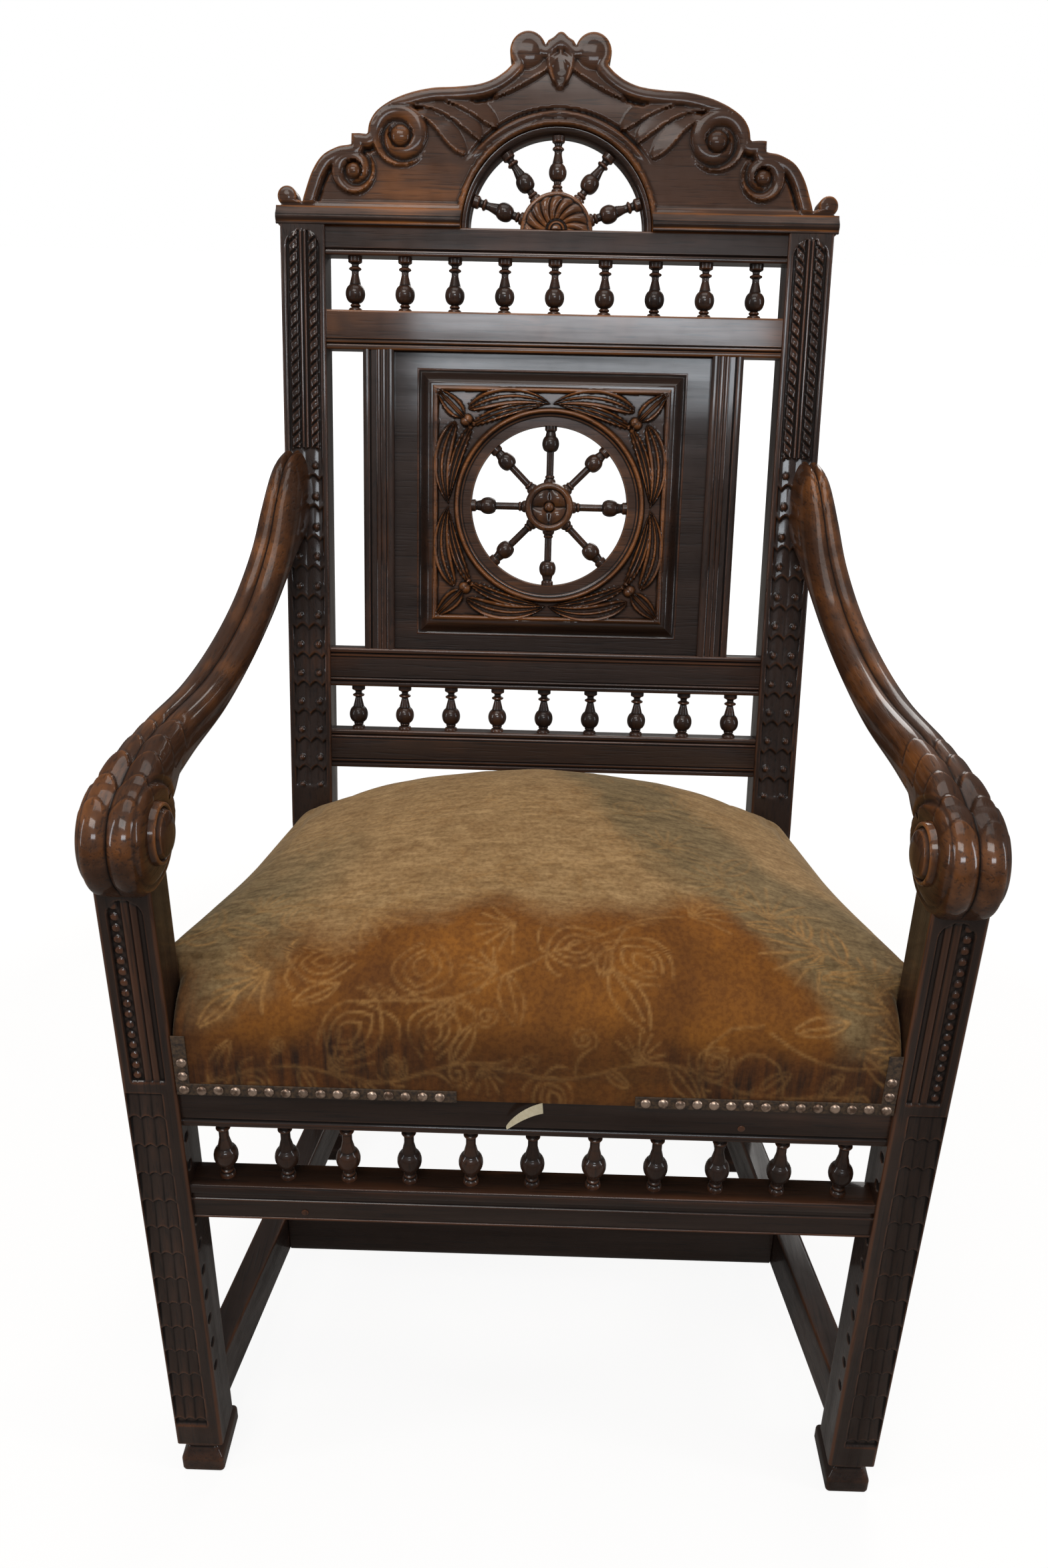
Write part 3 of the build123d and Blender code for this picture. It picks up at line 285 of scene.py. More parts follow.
def coil(x, y, centre, radius, turns, start=0.0, hand=1):
    """A coiled scroll: a rounded band that winds in towards a button. The place in the
    band is the fractional part of turns * (1 - r / radius) plus the angle as a share."""
    away = np.hypot(x - centre[0], y - centre[1])
    angle = np.arctan2(y - centre[1], (x - centre[0]) * hand) / (2 * np.pi)
    place = (turns * (1 - away / radius) + angle - start) % 1
    band = ridge(place - 0.42, 0.42) ** 0.8
    button = 1.15 * ridge(away, radius * 0.34)
    band = np.where(away < radius * 0.42, 0, band)
    return np.where(away < radius, np.maximum(band, button), 0) * ease(radius - away, 0, 1.5)


print("a ridge half way out is", round(float(ridge(0.5, 1.0)), 2), "of its height")

# %% [markdown]
# ## Writing shader maths as Python
#
# A material is a graph of nodes, but reading one is easier as a formula. The class
# below wraps a socket, so that `1 - mask * 0.5` adds the two Math nodes for us. Any
# other node comes from one method, which takes its type, its settings and its inputs.

# %% A small language for materials
class Value:
    """A socket of a material that can be added, multiplied and so on."""

    def __init__(self, finish, socket):
        self.finish, self.socket = finish, socket

    def maths(self, operation, *others):
        return self.finish.node("ShaderNodeMath", {"operation": operation}, dict(enumerate(others)))

    def __add__(self, other):
        return self.maths("ADD", self, other)

    def __sub__(self, other):
        return self.maths("SUBTRACT", self, other)

    def __rsub__(self, other):
        return self.maths("SUBTRACT", other, self)

    def __mul__(self, other):
        return self.maths("MULTIPLY", self, other)

    def between(self, low, high):
        """0 where the value is at low or less, 1 at high or more, straight between."""
        inputs = {0: self, 1: low, 2: high, 3: 0.0, 4: 1.0}
        return self.finish.node("ShaderNodeMapRange", {}, inputs)

    __radd__, __rmul__ = __add__, __mul__


class Finish:
    """One material, built node by node on Object coordinates."""

    def __init__(self, name):
        self.material = bpy.data.materials.new(name)
        self.material.use_nodes = True
        self.tree = self.material.node_tree
        self.shader = self.tree.nodes["Principled BSDF"]
        self.place = self.node("ShaderNodeTexCoord", {}, {}, "Object")

    def node(self, kind, settings, inputs, output=0):
        """Adds a node. Settings are its own properties; inputs are numbers, colours or Values
        by socket name or number."""
        made = self.tree.nodes.new(kind)
        for key, setting in settings.items():
            setattr(made, key, setting)
        for key, value in inputs.items():
            self.feed(made.inputs[key], value)
        return Value(self, made.outputs[output])

    def feed(self, socket, value):
        """Links a Value to a socket, or sets the socket to a plain number or colour."""
        if isinstance(value, Value):
            self.tree.links.new(value.socket, socket)
        elif isinstance(value, tuple) and len(value) == 3 and len(socket.default_value) == 4:
            socket.default_value = (*value, 1)
        else:
            socket.default_value = value

    def set(self, **inputs):
        """Feeds the shader itself: Base_Color stands for its socket Base Color."""
        for name, value in inputs.items():
            self.feed(self.shader.inputs[name.replace("_", " ")], value)

    def noise(self, scale, stretch=(1, 1, 1), detail=4, roughness=0.55, shift=0.0):
        """Soft random values about 0.5, stretched along an axis by a small factor there."""
        where = self.node("ShaderNodeMapping", {}, {
            "Vector": self.place, "Location": (shift, shift, shift), "Scale": stretch})
        return self.node("ShaderNodeTexNoise", {}, {
            "Vector": where, "Scale": scale, "Detail": detail, "Roughness": roughness})

    def mark(self, name):
        """A number stored on the points of the piece."""
        return self.node("ShaderNodeAttribute", {"attribute_name": name}, {}, "Fac")

    def mix(self, share, first, second, blend="MIX"):
        """A colour between two colours."""
        settings = {"data_type": "RGBA", "blend_type": blend}
        return self.node("ShaderNodeMix", settings, {0: share, 6: first, 7: second}, 2)

    def bump(self, height, distance, strength=1.0):
        """A Normal for a height from 0 to 1 that stands for a distance in metres."""
        return self.node("ShaderNodeBump", {}, {
            "Height": height, "Distance": distance, "Strength": strength})


# %% [markdown]
# ## Oak under an old varnish
#
# The wood is nearly black in the hollows, partly old polish and dust and partly painted
# shade, deep brown on the flats and red to orange where the stain has rubbed through. Oak
# also shows short dark pores along the grain, so each piece takes the version of the
# finish whose grain runs along it. The arms and the crest were rubbed most and are the
# warmest. A clear coat gives the cool glints, and its strength is uneven because the
# polish is old.

# %% Oak
GRAIN = {"x": (0.05, 1, 1), "y": (1, 0.05, 1), "z": (1, 1, 0.05)}


def oak(name, grain, hollow, flat, worn, warmth=0.5, gloss=0.85):
    """Varnished oak: hollow, flat and worn are its three colours, the hollow one also painted
    shade in the hollows; warmth how far the rubbed patches spread, and gloss the weight of
    the clear coat."""
    wood = Finish(name)
    wear_and_shade = wood.mark("wear_and_shade")
    streaks = wood.noise(34, GRAIN[grain], detail=6, roughness=0.62)
    pores = wood.noise(420, GRAIN[grain], detail=2, shift=3.0)
    patches = wood.noise(9, detail=3, shift=7.0)
    dust = wood.noise(60, detail=5, shift=11.0)
    rubbed = wear_and_shade * 1.5 + patches.between(0.45, 0.75) * warmth + streaks * 1.3 - 0.92
    rubbed = rubbed.between(0.0, 1.1)
    colour = wood.mix(rubbed, flat, worn)
    colour = wood.mix(streaks.between(0.66, 0.3) * 0.5, colour, hollow)
    # painted shade with dust: where the bend is below 0 the hollows darken to the hollow colour and
    # lose most of their coat
    sunk = (wear_and_shade * -1.8 + dust * 0.5 - 0.25).between(0.0, 0.9)
    colour = wood.mix(sunk, colour, hollow)
    colour = wood.mix(pores.between(0.44, 0.34) * 0.5, colour, hollow)
    height = pores.between(0.3, 0.5) * 0.5 + streaks * 0.35 + dust * 0.3
    wood.set(Base_Color=colour,
             Roughness=0.42 + dust * 0.22 + sunk * 0.2,
             Coat_Weight=(1 - sunk * 0.9) * (streaks * 1.9 - 0.4) * gloss,
             Normal=wood.bump(height, 0.0006, 0.5))
    wood.shader.inputs["Coat Roughness"].default_value = 0.10
    wood.shader.inputs["Specular IOR Level"].default_value = 0.18
    return wood.material


BLACK_BROWN = (0.004, 0.002, 0.0013)
DARK_BROWN, RED_BROWN = (0.021, 0.0085, 0.0042), (0.082, 0.027, 0.009)
WARM_BROWN, ORANGE_BROWN = (0.048, 0.0165, 0.0052), (0.215, 0.072, 0.0165)
RUBBED_BROWN, HONEY_BROWN = (0.052, 0.0168, 0.0042), (0.265, 0.086, 0.016)
dark_oak = {grain: oak("dark_oak_" + grain, grain, BLACK_BROWN, DARK_BROWN, RED_BROWN)
            for grain in GRAIN}
carved_oak = {grain: oak("carved_oak_" + grain, grain, BLACK_BROWN, WARM_BROWN, ORANGE_BROWN, 0.75)
              for grain in "xz"}
rubbed_oak = {grain: oak("rubbed_oak_" + grain, grain, BLACK_BROWN, RUBBED_BROWN, HONEY_BROWN,
                         0.8, gloss)
              for grain, gloss in (("x", 0.5), ("y", 0.85))}
print("oak finishes:", len(dark_oak) + len(carved_oak) + len(rubbed_oak))

# %% [markdown]
# ## Front legs
#
# A leg is a square post whose corners are only eased. The carver sank an arched panel
# above the seat and cut a ladder of wavy ledges below it, leaving a plain strip on the
# inner side. A loop of points round the leg, repeated up its height, gives the post;
# the carving then pushes each point out along its own face.

# %% Rounded rectangles
def rounded_loop(low, high, corner, counts):
    """Points and outward normals round a rectangle with eased corners, anticlockwise from
    the left end of its near side. counts is the number of points on its four sides."""
    (x0, y0), (x1, y1) = low, high
    middles = np.array([(x0 + corner, y0 + corner), (x1 - corner, y0 + corner),
                        (x1 - corner, y1 - corner), (x0 + corner, y1 - corner)])
    places, turns = [], []
    for index, count in enumerate(counts):
        facing = math.radians(90 * index - 90)
        share = np.linspace(0, 1, count)[:, None]
        side = middles[index] * (1 - share) + middles[(index + 1) % 4] * share
        turn = np.concatenate([np.full(count, facing), facing + np.radians([22.5, 45, 67.5])])
        places.append(np.concatenate([side, np.repeat(side[-1:], 3, axis=0)]))
        turns.append(turn)
    turns = np.concatenate(turns)
    normals = np.stack([np.cos(turns), np.sin(turns)], axis=-1)
    return np.concatenate(places) + corner * normals, normals


def upright(heights, loop, normals, relief):
    """Loops of a straight post: the rectangle at each height, pushed out by relief."""
    push = relief(loop[None, :, 0], loop[None, :, 1], heights[:, None], normals[None])
    flat = loop[None] + push[..., None] * normals[None]
    tall = np.broadcast_to(heights[:, None, None], (*flat.shape[:2], 1))
    return np.concatenate([flat, tall], axis=-1)


# %% Carve the front legs
LEDGE_PITCH, LEDGE_DEPTH = 29.0, 3.4
LEG_MIDDLE = (LEG_LOW[0] + LEG_HIGH[0]) / 2
SEAT_RAIL_LOW, SEAT_RAIL_HIGH = corners("front_seat_rail")
PANEL_TOP = LEG_HIGH[2] - 34.0          # springing of the arched panel, below the arm tenon


def leg_carving(x, y, z, normals):
    """Relief of the right front leg in mm, over its front face and its inner side."""
    across = x - LEG_MIDDLE
    # a sunk panel with an arched top, reeds inside it and a row of pearls on its outer edge
    reach = np.hypot(across, np.maximum(z - PANEL_TOP, 0))
    inside = ease(13.5 - reach, 0, 1.2) * ease(z, SEAT_RAIL_LOW[2] + 46, SEAT_RAIL_LOW[2] + 48)
    reeds = 1.6 * ridge((across + 9.5) % 6.4 - 3.2, 2.9) * (np.abs(across + 3.1) < 6.3)
    pearls = 2.0 * ridge(np.hypot(across - 8.2, (z % 9.5) - 4.75), 3.4)
    panel = inside * (np.maximum(reeds, pearls) - 2.2)
    # ledges: each swells down to a wavy lip and drops back
    wave = 3.2 * np.abs(np.sin(np.pi * (across + 9) / 9.5))
    fall = ((SEAT_RAIL_LOW[2] + 38 - z + wave) / LEDGE_PITCH) % 1
    ledge = LEDGE_DEPTH * (fall ** 1.3 * ease(1 - fall, 0, 0.07) - 0.9)
    ladder = ledge * ease(across, -9.4, -8.6) * ease(20 - across, 0, 1.5)
    ladder = ladder * ease(z, 62, 66) * ease(SEAT_RAIL_LOW[2] + 36 - z, 0, 2)
    front = np.clip(-normals[..., 1], 0, 1) ** 2
    # small gouge cuts beside the ledges, on the inner side
    cut = np.hypot((y - 9) / 5.0, (((SEAT_RAIL_LOW[2] - z) % LEDGE_PITCH) - 14) / 4.5)
    notch = -2.0 * ridge(cut, 1.0) * (z < SEAT_RAIL_LOW[2]) * (z > 120)
    inner = np.clip(-normals[..., 0], 0, 1) ** 2
    return front * (panel + ladder) + inner * notch


leg_loop, leg_normals = rounded_loop(LEG_LOW[:2], LEG_HIGH[:2], 2.2, (52, 5, 5, 36))
leg_heights = np.linspace(LEG_LOW[2], LEG_HIGH[2] - 13.0, 560)
leg = tube(upright(leg_heights, leg_loop, leg_normals, leg_carving))
# the legs take a wider reach: more wear on each ledge lip and more painted shade beneath it
make_pair("carved_leg", leg, dark_oak["z"], "front_leg", "dark_oak", reach=4.5)

# %% [markdown]
# ## Back posts
#
# The rear leg and the leaning upright are sawn from one board, so the loops stand level
# below the knee and square to the slope above it. The face is carved from the seat up:
# leaf scales with pearls, then two strings of cut husks in a sunk panel.

# %% Carve the back posts
POST_MIDDLE = (POST_LOW[0] + POST_HIGH[0]) / 2
ARM_MEETS = 392.0                       # up the slope, where the arm covers the post
SCALE_PITCH, HUSK_PITCH = 30.4, 11.5


def post_carving(x, s):
    """Relief of the front of the right post in mm, over the leaning face."""
    across = x - POST_MIDDLE
    beside = np.abs(np.abs(across) - 9.6)
    # strings of husks: round rods, cut across on the slant
    cut = ((s + 0.9 * (across - np.sign(across) * 9.6)) / HUSK_PITCH) % 1
    husk = ridge(beside, 4.4) * (1 - 0.8 * ridge(cut - 0.5, 0.15))
    husk = husk * (0.8 + 0.2 * np.sin(np.pi * cut))
    spine = 0.8 * ridge(np.abs(across) - 1.9, 1.7)
    strings = 3.0 * np.maximum(husk, spine) - 2.0
    # leaf scales, each with a pearl on either side of its stalk
    fall = ((ARM_MEETS - s + 5 * np.abs(np.sin(np.pi * across / 13.0))) / SCALE_PITCH) % 1
    scale = 2.4 * fall ** 1.2 * ease(1 - fall, 0, 0.09) - 2.0
    along_pitch = (((ARM_MEETS - s) / SCALE_PITCH) % 1 - 0.5) * SCALE_PITCH
    pearl = 3.2 * ridge(np.hypot(beside, along_pitch), 3.6) - 1.4
    scales = np.maximum(scale, np.where(pearl > -1.3, pearl, -9))
    carved = np.where(s > ARM_MEETS + 3, strings, scales)
    # the sunk field stops in a round arch below the crest
    reach = np.hypot(across, np.maximum(s - (SLOPE_TOP - 22), 0))
    field = ease(17.0 - reach, 0, 1.2) * ease(s, 40, 44)
    return field * carved


def post_skin():
    """Level loops up to the knee, then loops square to the slope, which carry the carving."""
    loop, normals = rounded_loop((POST_LOW[0], -POST_DEPTH), (POST_HIGH[0], 0), 2.0, (5, 5, 48, 5))
    z = np.concatenate([np.linspace(POST_LOW[2], KNEE - 4, 40), [KNEE - 0.1]])[:, None]
    s = np.concatenate([[8.0, 22.0], np.linspace(36, SLOPE_TOP + 0.3, 500)])[:, None]
    below = np.stack(np.broadcast_arrays(loop[:, 0], POST_FRONT - loop[:, 1], z), axis=-1)
    front = np.clip(normals[:, 1], 0, 1) ** 2
    above = leaning(loop[:, 0], s, loop[:, 1] + front * post_carving(loop[:, 0], s))
    return tube(np.concatenate([below, above]))


make_pair("carved_post", post_skin(), dark_oak["z"], "back_post", "dark_oak")

# %% [markdown]
# ## Shoes
#
# Each foot is a small moulded block: a cove under the leg, an ogee that flares out, and
# a rounded plate on the floor. Rounded rectangles that grow and shrink with height give
# the moulding on all four sides at once, and the heel is drawn further back.

# %% Shape the shoes
SHOE_TOP = LEG_LOW[2]


def shoe(node, heel):
    """Loops of a shoe: the inset from its full width is a cove, an ogee and a round edge
    over height; heel is -1 where it runs towards the front and 1 towards the back."""
    low, high = corners(node)
    z = np.concatenate([[0.0, 0.8, 2.2, 4.0], np.linspace(6, SHOE_TOP, 30)])
    inset = np.where(z < 4, 4.6 - 4.6 * ridge(z - 4.0, 4.0), 0.0)
    inset += 5.2 * ease(z, 15, 27) - 1.6 * ease(z, 31, SHOE_TOP)
    inset += 0.8 * ridge(z - 27.5, 1.6)
    heel_in = 18.0 * ease(z, 17, SHOE_TOP) ** 0.8
    loops = []
    for height, side, back_in in zip(z, inset, heel_in):
        y0 = low[1] + side + (back_in if heel < 0 else 0) * (1 - side / 40)
        y1 = high[1] - side - (back_in if heel > 0 else 0) * (1 - side / 40)
        loop, _ = rounded_loop((low[0] + side, y0), (high[0] - side, y1), 3.5, (10, 10, 10, 10))
        loops.append(np.column_stack([loop, np.full(len(loop), height)]))
    return tube(np.array(loops))


for name, heel in (("front_shoe", 1), ("rear_shoe", -1)):
    for side in ("right", "left"):
        node = f"{name}_{side}"
        make_piece("moulded_" + node, [shoe(node, heel)], dark_oak["y"], [node], "dark_oak")

# %% [markdown]
# ## Rails and stretchers
#
# A rail is one moulded section carried along its length. The same loop and relief do
# for all of them: a groove over the lower edge of the seat rail, a rounded nose on the
# gallery rail, a bead on both edges of each rail in the back. The ends run a little
# into the posts, where the tenons would be.

# %% A moulded bar, level or leaning
INTO_POST = 1.0


def bar_x(half, loop, normals, relief, place):
    """Skin of a bar across the chair: relief pushes its section out at each point, and
    place turns (x, up, out) into points."""
    stations = np.linspace(-half, half, 25)[:, None]
    up, out = loop[:, 0] + relief * normals[:, 0], loop[:, 1] + relief * normals[:, 1]
    return tube(place(stations, up[None], out[None]))


def level(x, up, out):
    """Points of a level bar: across, up, and out to the front."""
    return np.stack(np.broadcast_arrays(x, -out, up), axis=-1)


# %% Level rails
def level_rail(node, half, relief):
    """A level rail in the place of its solid; relief is a function of its height."""
    low, high = corners(node)
    section, normals = rounded_loop((low[2], -high[1]), (high[2], -low[1]), 2.0, (5, 5, 60, 5))
    front = np.clip(normals[:, 1], 0, 1) ** 2
    skin = bar_x(half, section, normals, front * relief(section[:, 0] - low[2]), level)
    make_piece("moulded_" + node, [skin], dark_oak["x"], [node], "dark_oak", sharp=50)


LEG_IN, POST_IN = LEG_LOW[0], POST_LOW[0]
level_rail("front_seat_rail", LEG_IN + INTO_POST, lambda up: -1.6 * ridge(up - 7, 1.6))
level_rail("rear_seat_rail", POST_IN + INTO_POST, lambda up: 0 * up)


def gallery_face(up):
    """Relief of the gallery rail: a half-round nose over a sunk step and a plain fascia."""
    return 2.2 * ridge(up - 30, 4.6) - 2.2 - 1.4 * ease(up, 19, 20) * ease(26.4 - up, 0, 1)


level_rail("gallery_rail", LEG_IN + INTO_POST, gallery_face)


# %% Side rails and stretchers, splayed with the seat
SIDE_THICK, SPLAY_FRONT, SPLAY_BACK = 25.0, LEG_IN + 13.5, POST_IN + 13.5


def side_middle(y):
    """Middle of a side rail at a depth y between the leg and the post."""
    share = (y - LEG_HIGH[1]) / (POST_FRONT - LEG_HIGH[1])
    return SPLAY_FRONT + (SPLAY_BACK - SPLAY_FRONT) * share


def side_bar(low_z, high_z, chamfer):
    """Skin of a right side rail: a plain eased section, its inner lower corner cut off."""
    half = SIDE_THICK / 2
    section, _ = rounded_loop((-half, low_z), (half, high_z), 2.0, (12, 16, 12, 16))
    cut = np.clip(chamfer - (section[:, 0] + half) - (section[:, 1] - low_z), 0, None) / 2
    section = section + cut[:, None]
    y = np.linspace(LEG_HIGH[1] - INTO_POST, POST_FRONT + INTO_POST, 30)[:, None]
    x = side_middle(y) + section[:, 0]
    return tube(np.stack(np.broadcast_arrays(x, y, section[:, 1]), axis=-1))


def cross_bar():
    """Skin of the cross stretcher, its front lower corner cut off."""
    low, high = corners("cross_stretcher")
    section, _ = rounded_loop((low[2], -high[1]), (high[2], -low[1]), 2.0, (12, 16, 12, 16))
    cut = np.clip(CHAMFER - (section[:, 0] - low[2]) - (-low[1] - section[:, 1]), 0, None) / 2
    section = section + cut[:, None] * (1, -1)
    half = side_middle((low[1] + high[1]) / 2) - SIDE_THICK / 2 + INTO_POST
    return bar_x(half, section, section * 0, 0, level)


CHAMFER = 5.0
for node, chamfer in (("side_seat_rail", 0.0), ("side_stretcher", CHAMFER)):
    low, high = corners(node + "_right")
    make_pair("eased_" + node, side_bar(low[2], high[2], chamfer), dark_oak["y"], node, "dark_oak")
make_piece("eased_cross_stretcher", [cross_bar()], dark_oak["x"], ["cross_stretcher"], "dark_oak")


# %% Rails of the leaning back
RAIL_FACE, RAIL_THICK = -4.0, 24.0


def back_rail(node):
    """A rail of the back: a half-round bead and sunk lines along its lower edge, and on the
    two lowest rails also along the upper one."""
    low, high = RAILS[node]
    section, normals = rounded_loop((low, RAIL_FACE - RAIL_THICK), (high, RAIL_FACE), 1.6,
                                    (5, 5, 70, 5))
    edge = section[:, 0] - low
    if node in ("bottom_back_rail", "third_back_rail"):
        edge = np.minimum(edge, high - section[:, 0])
    face = 0.5 * ridge(edge - 2.4, 2.4) - 1.6 * ridge(edge - 5.6, 1.0) - 0.5 * (edge < 5.6)
    face = face - 1.1 * ridge(edge - 9.4, 0.8) * (high - low > 36)
    front = np.clip(normals[:, 1], 0, 1) ** 2
    skin = bar_x(POST_IN + INTO_POST, section, normals, front * face, leaning)
    finish = carved_oak["x"] if node == "second_back_rail" else dark_oak["x"]
    make_piece("beaded_" + node, [skin], finish, [node], "dark_oak", sharp=50)


for node in RAILS:
    back_rail(node)

# %% [markdown]
# ## The panel, its stiles and its sloping moulding
#
# The stiles are run with several fine reeds, like a cornice stood on end. The moulding
# that lifts the carved square off the panel is a picture frame: one ogee section carried
# round a rectangle and mitred in its corners. The panel itself is flat, so its solid
# stays, and takes only the finish.

# %% Reeded stiles
PANEL_LOW, PANEL_HIGH = RAILS["third_back_rail"][1], RAILS["second_back_rail"][0]
PANEL_MID = (PANEL_LOW + PANEL_HIGH) / 2
STILE_WIDTH = 31.0
STILE_OUT = corners("panel_stile_right")[1][0]


def stile():
    """Skin of the right stile: three reeds by its inner edge and one by the outer."""
    section, normals = rounded_loop((STILE_OUT - STILE_WIDTH, RAIL_FACE - RAIL_THICK),
                                    (STILE_OUT, RAIL_FACE), 1.5, (5, 5, 64, 5))
    inward = STILE_OUT - section[:, 0]
    face = 0.9 * ridge(inward - 3.4, 3.0) + 1.1 * ridge(inward - 27.2, 3.4)
    face += 0.9 * ridge(inward - 20.6, 2.6) + 0.7 * ridge(inward - 15.6, 2.0)
    face -= 1.4 + 1.2 * ridge(inward - 7.6, 1.0)
    out = section[:, 1] + np.clip(normals[:, 1], 0, 1) ** 2 * face
    s = np.linspace(PANEL_LOW - INTO_POST, PANEL_HIGH + INTO_POST, 40)[:, None]
    return tube(leaning(section[None, :, 0], s, out[None]))


make_pair("reeded_stile", stile(), dark_oak["z"], "panel_stile", "dark_oak", sharp=50)

# %% Sloping moulding and panel
SQUARE_X, SQUARE_Y = 119.8, 117.3        # half sizes of the carved square
PANEL_FACE, BEVEL_WIDTH, BEVEL_TOP = -14.0, 17.0, -5.0
BEVEL_GAP = 0.4                          # between the square and its moulding


def bevel_section():
    """Closed section of the moulding: how far from the square, and how far out."""
    share = np.linspace(0, 1, 24)
    away = BEVEL_GAP + (BEVEL_WIDTH - BEVEL_GAP) * share
    slope_down = (BEVEL_TOP - PANEL_FACE) * (1 - ease(share, 0.12, 0.9))
    top = np.column_stack([away, PANEL_FACE + (slope_down + 0.9 * ridge(share - 0.93, 0.07))])
    return np.concatenate([top, [(BEVEL_WIDTH, PANEL_FACE - 2), (BEVEL_GAP, PANEL_FACE - 2)]])


def frame_skin(section):
    """A closed section carried round the square and mitred in the corners."""
    turns = np.array([(-1, -1), (1, -1), (1, 1), (-1, 1), (-1, -1)])
    along_sides = np.concatenate([np.linspace(turns[side], turns[side + 1], 15)[:-1]
                                  for side in range(4)] + [turns[:1]])
    x = along_sides[:, :1] * (SQUARE_X + section[None, :, 0])
    s = PANEL_MID + along_sides[:, 1:] * (SQUARE_Y + section[None, :, 0])
    return looped(leaning(x, s, section[None, :, 1]))


make_piece("sloping_moulding", [frame_skin(bevel_section())], dark_oak["x"], ["panel_bevel"],
           "dark_oak")
dress_solid("back_panel", dark_oak["x"])

# %% [markdown]
# ## The carved square
#
# A square with a round hole is awkward as a plain grid, so its rows run round the hole
# and its columns from the hole out to the border. The carving is the same in all eight
# half-sides: two hollow leaves run from a corner pearl to the middle of the side, a long
# one by the border and a slim one by the ring, and a dart fills the corner. Folding the
# place into one half-side draws it once.

# %% Relief of the square
WHEEL_RADIUS = 97.7
GROUND = -4.6


def square_carving(x, y):
    """Relief in mm over the face of the square, x and y from its middle."""
    x, y = np.abs(x) * SQUARE_Y / SQUARE_X, np.abs(y)
    far, near = np.maximum(x, y), np.minimum(x, y)
    long_leaf = leaf(near, far, bow((82, 95), (44, 118), (2, 101.5)), 9.0)
    ring_leaf = 0.8 * leaf(near, far, bow((79, 79), (50, 97), (6, 101)), 5.6)
    dart = leaf(near, far, bow((87, 88), (98, 99), (112, 113)), 8.0)
    pearl = 1.15 * ridge(np.hypot(near - 83, far - 85), 5.0)
    carved = np.maximum.reduce([long_leaf, ring_leaf, dart, pearl])
    border = ridge(SQUARE_Y - far - 2.7, 2.7)
    return np.maximum(GROUND + 4.8 * carved, GROUND * (1 - border))


# %% Skin of the square
def square_skin():
    """Rows run round the hole, aimed at evenly spaced points of the border; columns cross
    the face from hole to border and come back behind."""
    count = 184
    edge = np.linspace(-1, 1, count, endpoint=False)
    one = np.ones(count)
    sides = [np.column_stack(side)
             for side in ((edge, -one), (one, edge), (-edge, one), (-one, -edge))]
    border = np.concatenate(sides + [sides[0][:1]]) * (SQUARE_X, SQUARE_Y)
    hole = border / np.hypot(*border.T)[:, None] * WHEEL_RADIUS
    share = np.linspace(0, 1, 46)[None, :, None]
    place = hole[:, None] * (1 - share) + border[:, None] * share
    n = -2.0 + square_carving(place[..., 0], place[..., 1])
    n[:, 0] = n[:, -1] = -2.0 + GROUND * 0.4
    face = leaning(place[..., 0], PANEL_MID + place[..., 1], n)
    rear = leaning(place[:, ::-15, 0], PANEL_MID + place[:, ::-15, 1], -24.0)
    return looped(np.concatenate([face, rear], axis=1))


make_piece("carved_corner_square", [square_skin()], carved_oak["x"], ["carved_square"],
           "carved_oak")

# %% [markdown]
# ## Turned work
#
# Everything here was once spun on a lathe, so it is a profile turned about an axis: radius
# as a formula over length. Balusters are the widest of several bumps at each height, a
# foot, a pear-shaped ball, a thin ring and a collar, which leaves the crisp lines where
# the turner's skew parted one bump from the next.

# %% A profile turned about an axis
def turned(radius, height, place, sides=28, relief=None):
    """Skin of a turned piece. radius and height give its profile; place turns points
    (side, side, along) into the chair; relief pushes a point out along the axis."""
    angle = np.linspace(0, 2 * np.pi, sides, endpoint=False)[None]
    reach, tall = radius[:, None], np.broadcast_to(height[:, None], (len(height), sides))
    if relief is not None:
        tall = tall + relief(reach, angle)
    return tube(place(reach * np.cos(angle), reach * np.sin(angle), tall))


def baluster(length, ball, ball_at, foot, neck):
    """Profile of a baluster from its foot: the widest bump at each height."""
    height = np.concatenate([[0.0], np.linspace(0.01, length - 0.01, 70), [length]])
    over_ball, below_top = height - ball_at * length, length - height
    thin, swell, wide = neck / 2, (ball - neck) / 2, (foot - neck) / 2
    shoulder = np.clip(1 - (over_ball - 0.2 * ball) / (0.72 * ball), 0, 1) * (over_ball > 0)
    bumps = [np.full_like(height, thin),
             thin + swell * ridge(over_ball, 0.46 * ball),
             thin + 0.55 * swell * shoulder,
             thin + wide * ridge(height, 3.6) ** 0.7,
             thin + 0.5 * wide * ridge(height - 5.4, 1.5),
             thin + wide * ease(7.0 - below_top, 0, 2.4),
             thin + 0.8 * wide * ridge(below_top - 11.0, 1.7)]
    return np.maximum.reduce(bumps), height


def spread(count, half, margin=27.5):
    """Middles of a row of balusters, the last ones a margin away from the uprights."""
    return np.linspace(-1, 1, count) * (half - margin)


# %% Balusters of the three galleries
def standing(x, y, z):
    """Place for turned work that stands upright at a point."""
    return lambda side, depth, tall: np.stack([x + side, y + depth, z + tall], axis=-1)


front_low, front_high = corners("gallery_rail")[1][2], SEAT_RAIL_LOW[2]
profile = baluster(front_high - front_low, 20, 0.34, 13, 8)
row = [turned(*profile, standing(x, 18.5, front_low)) for x in spread(11, LEG_IN)]
make_piece("turned_front_gallery", row, dark_oak["z"], ["front_gallery_spindles"], "carved_oak",
           sharp=30)

for node, below, over in (("lower_gallery_spindles", "bottom_back_rail", "third_back_rail"),
                          ("upper_gallery_spindles", "second_back_rail", "top_back_rail")):
    low, high = RAILS[below][1], RAILS[over][0]
    profile = baluster(high - low, 19.6, 0.325, 14, 7)
    row = [turned(*profile, lambda side, depth, tall, x=x: leaning(
        x + side, low + tall, depth - 16)) for x in spread(9, POST_IN)]
    make_piece("turned_" + node, row, dark_oak["z"], [node], "carved_oak", sharp=30)


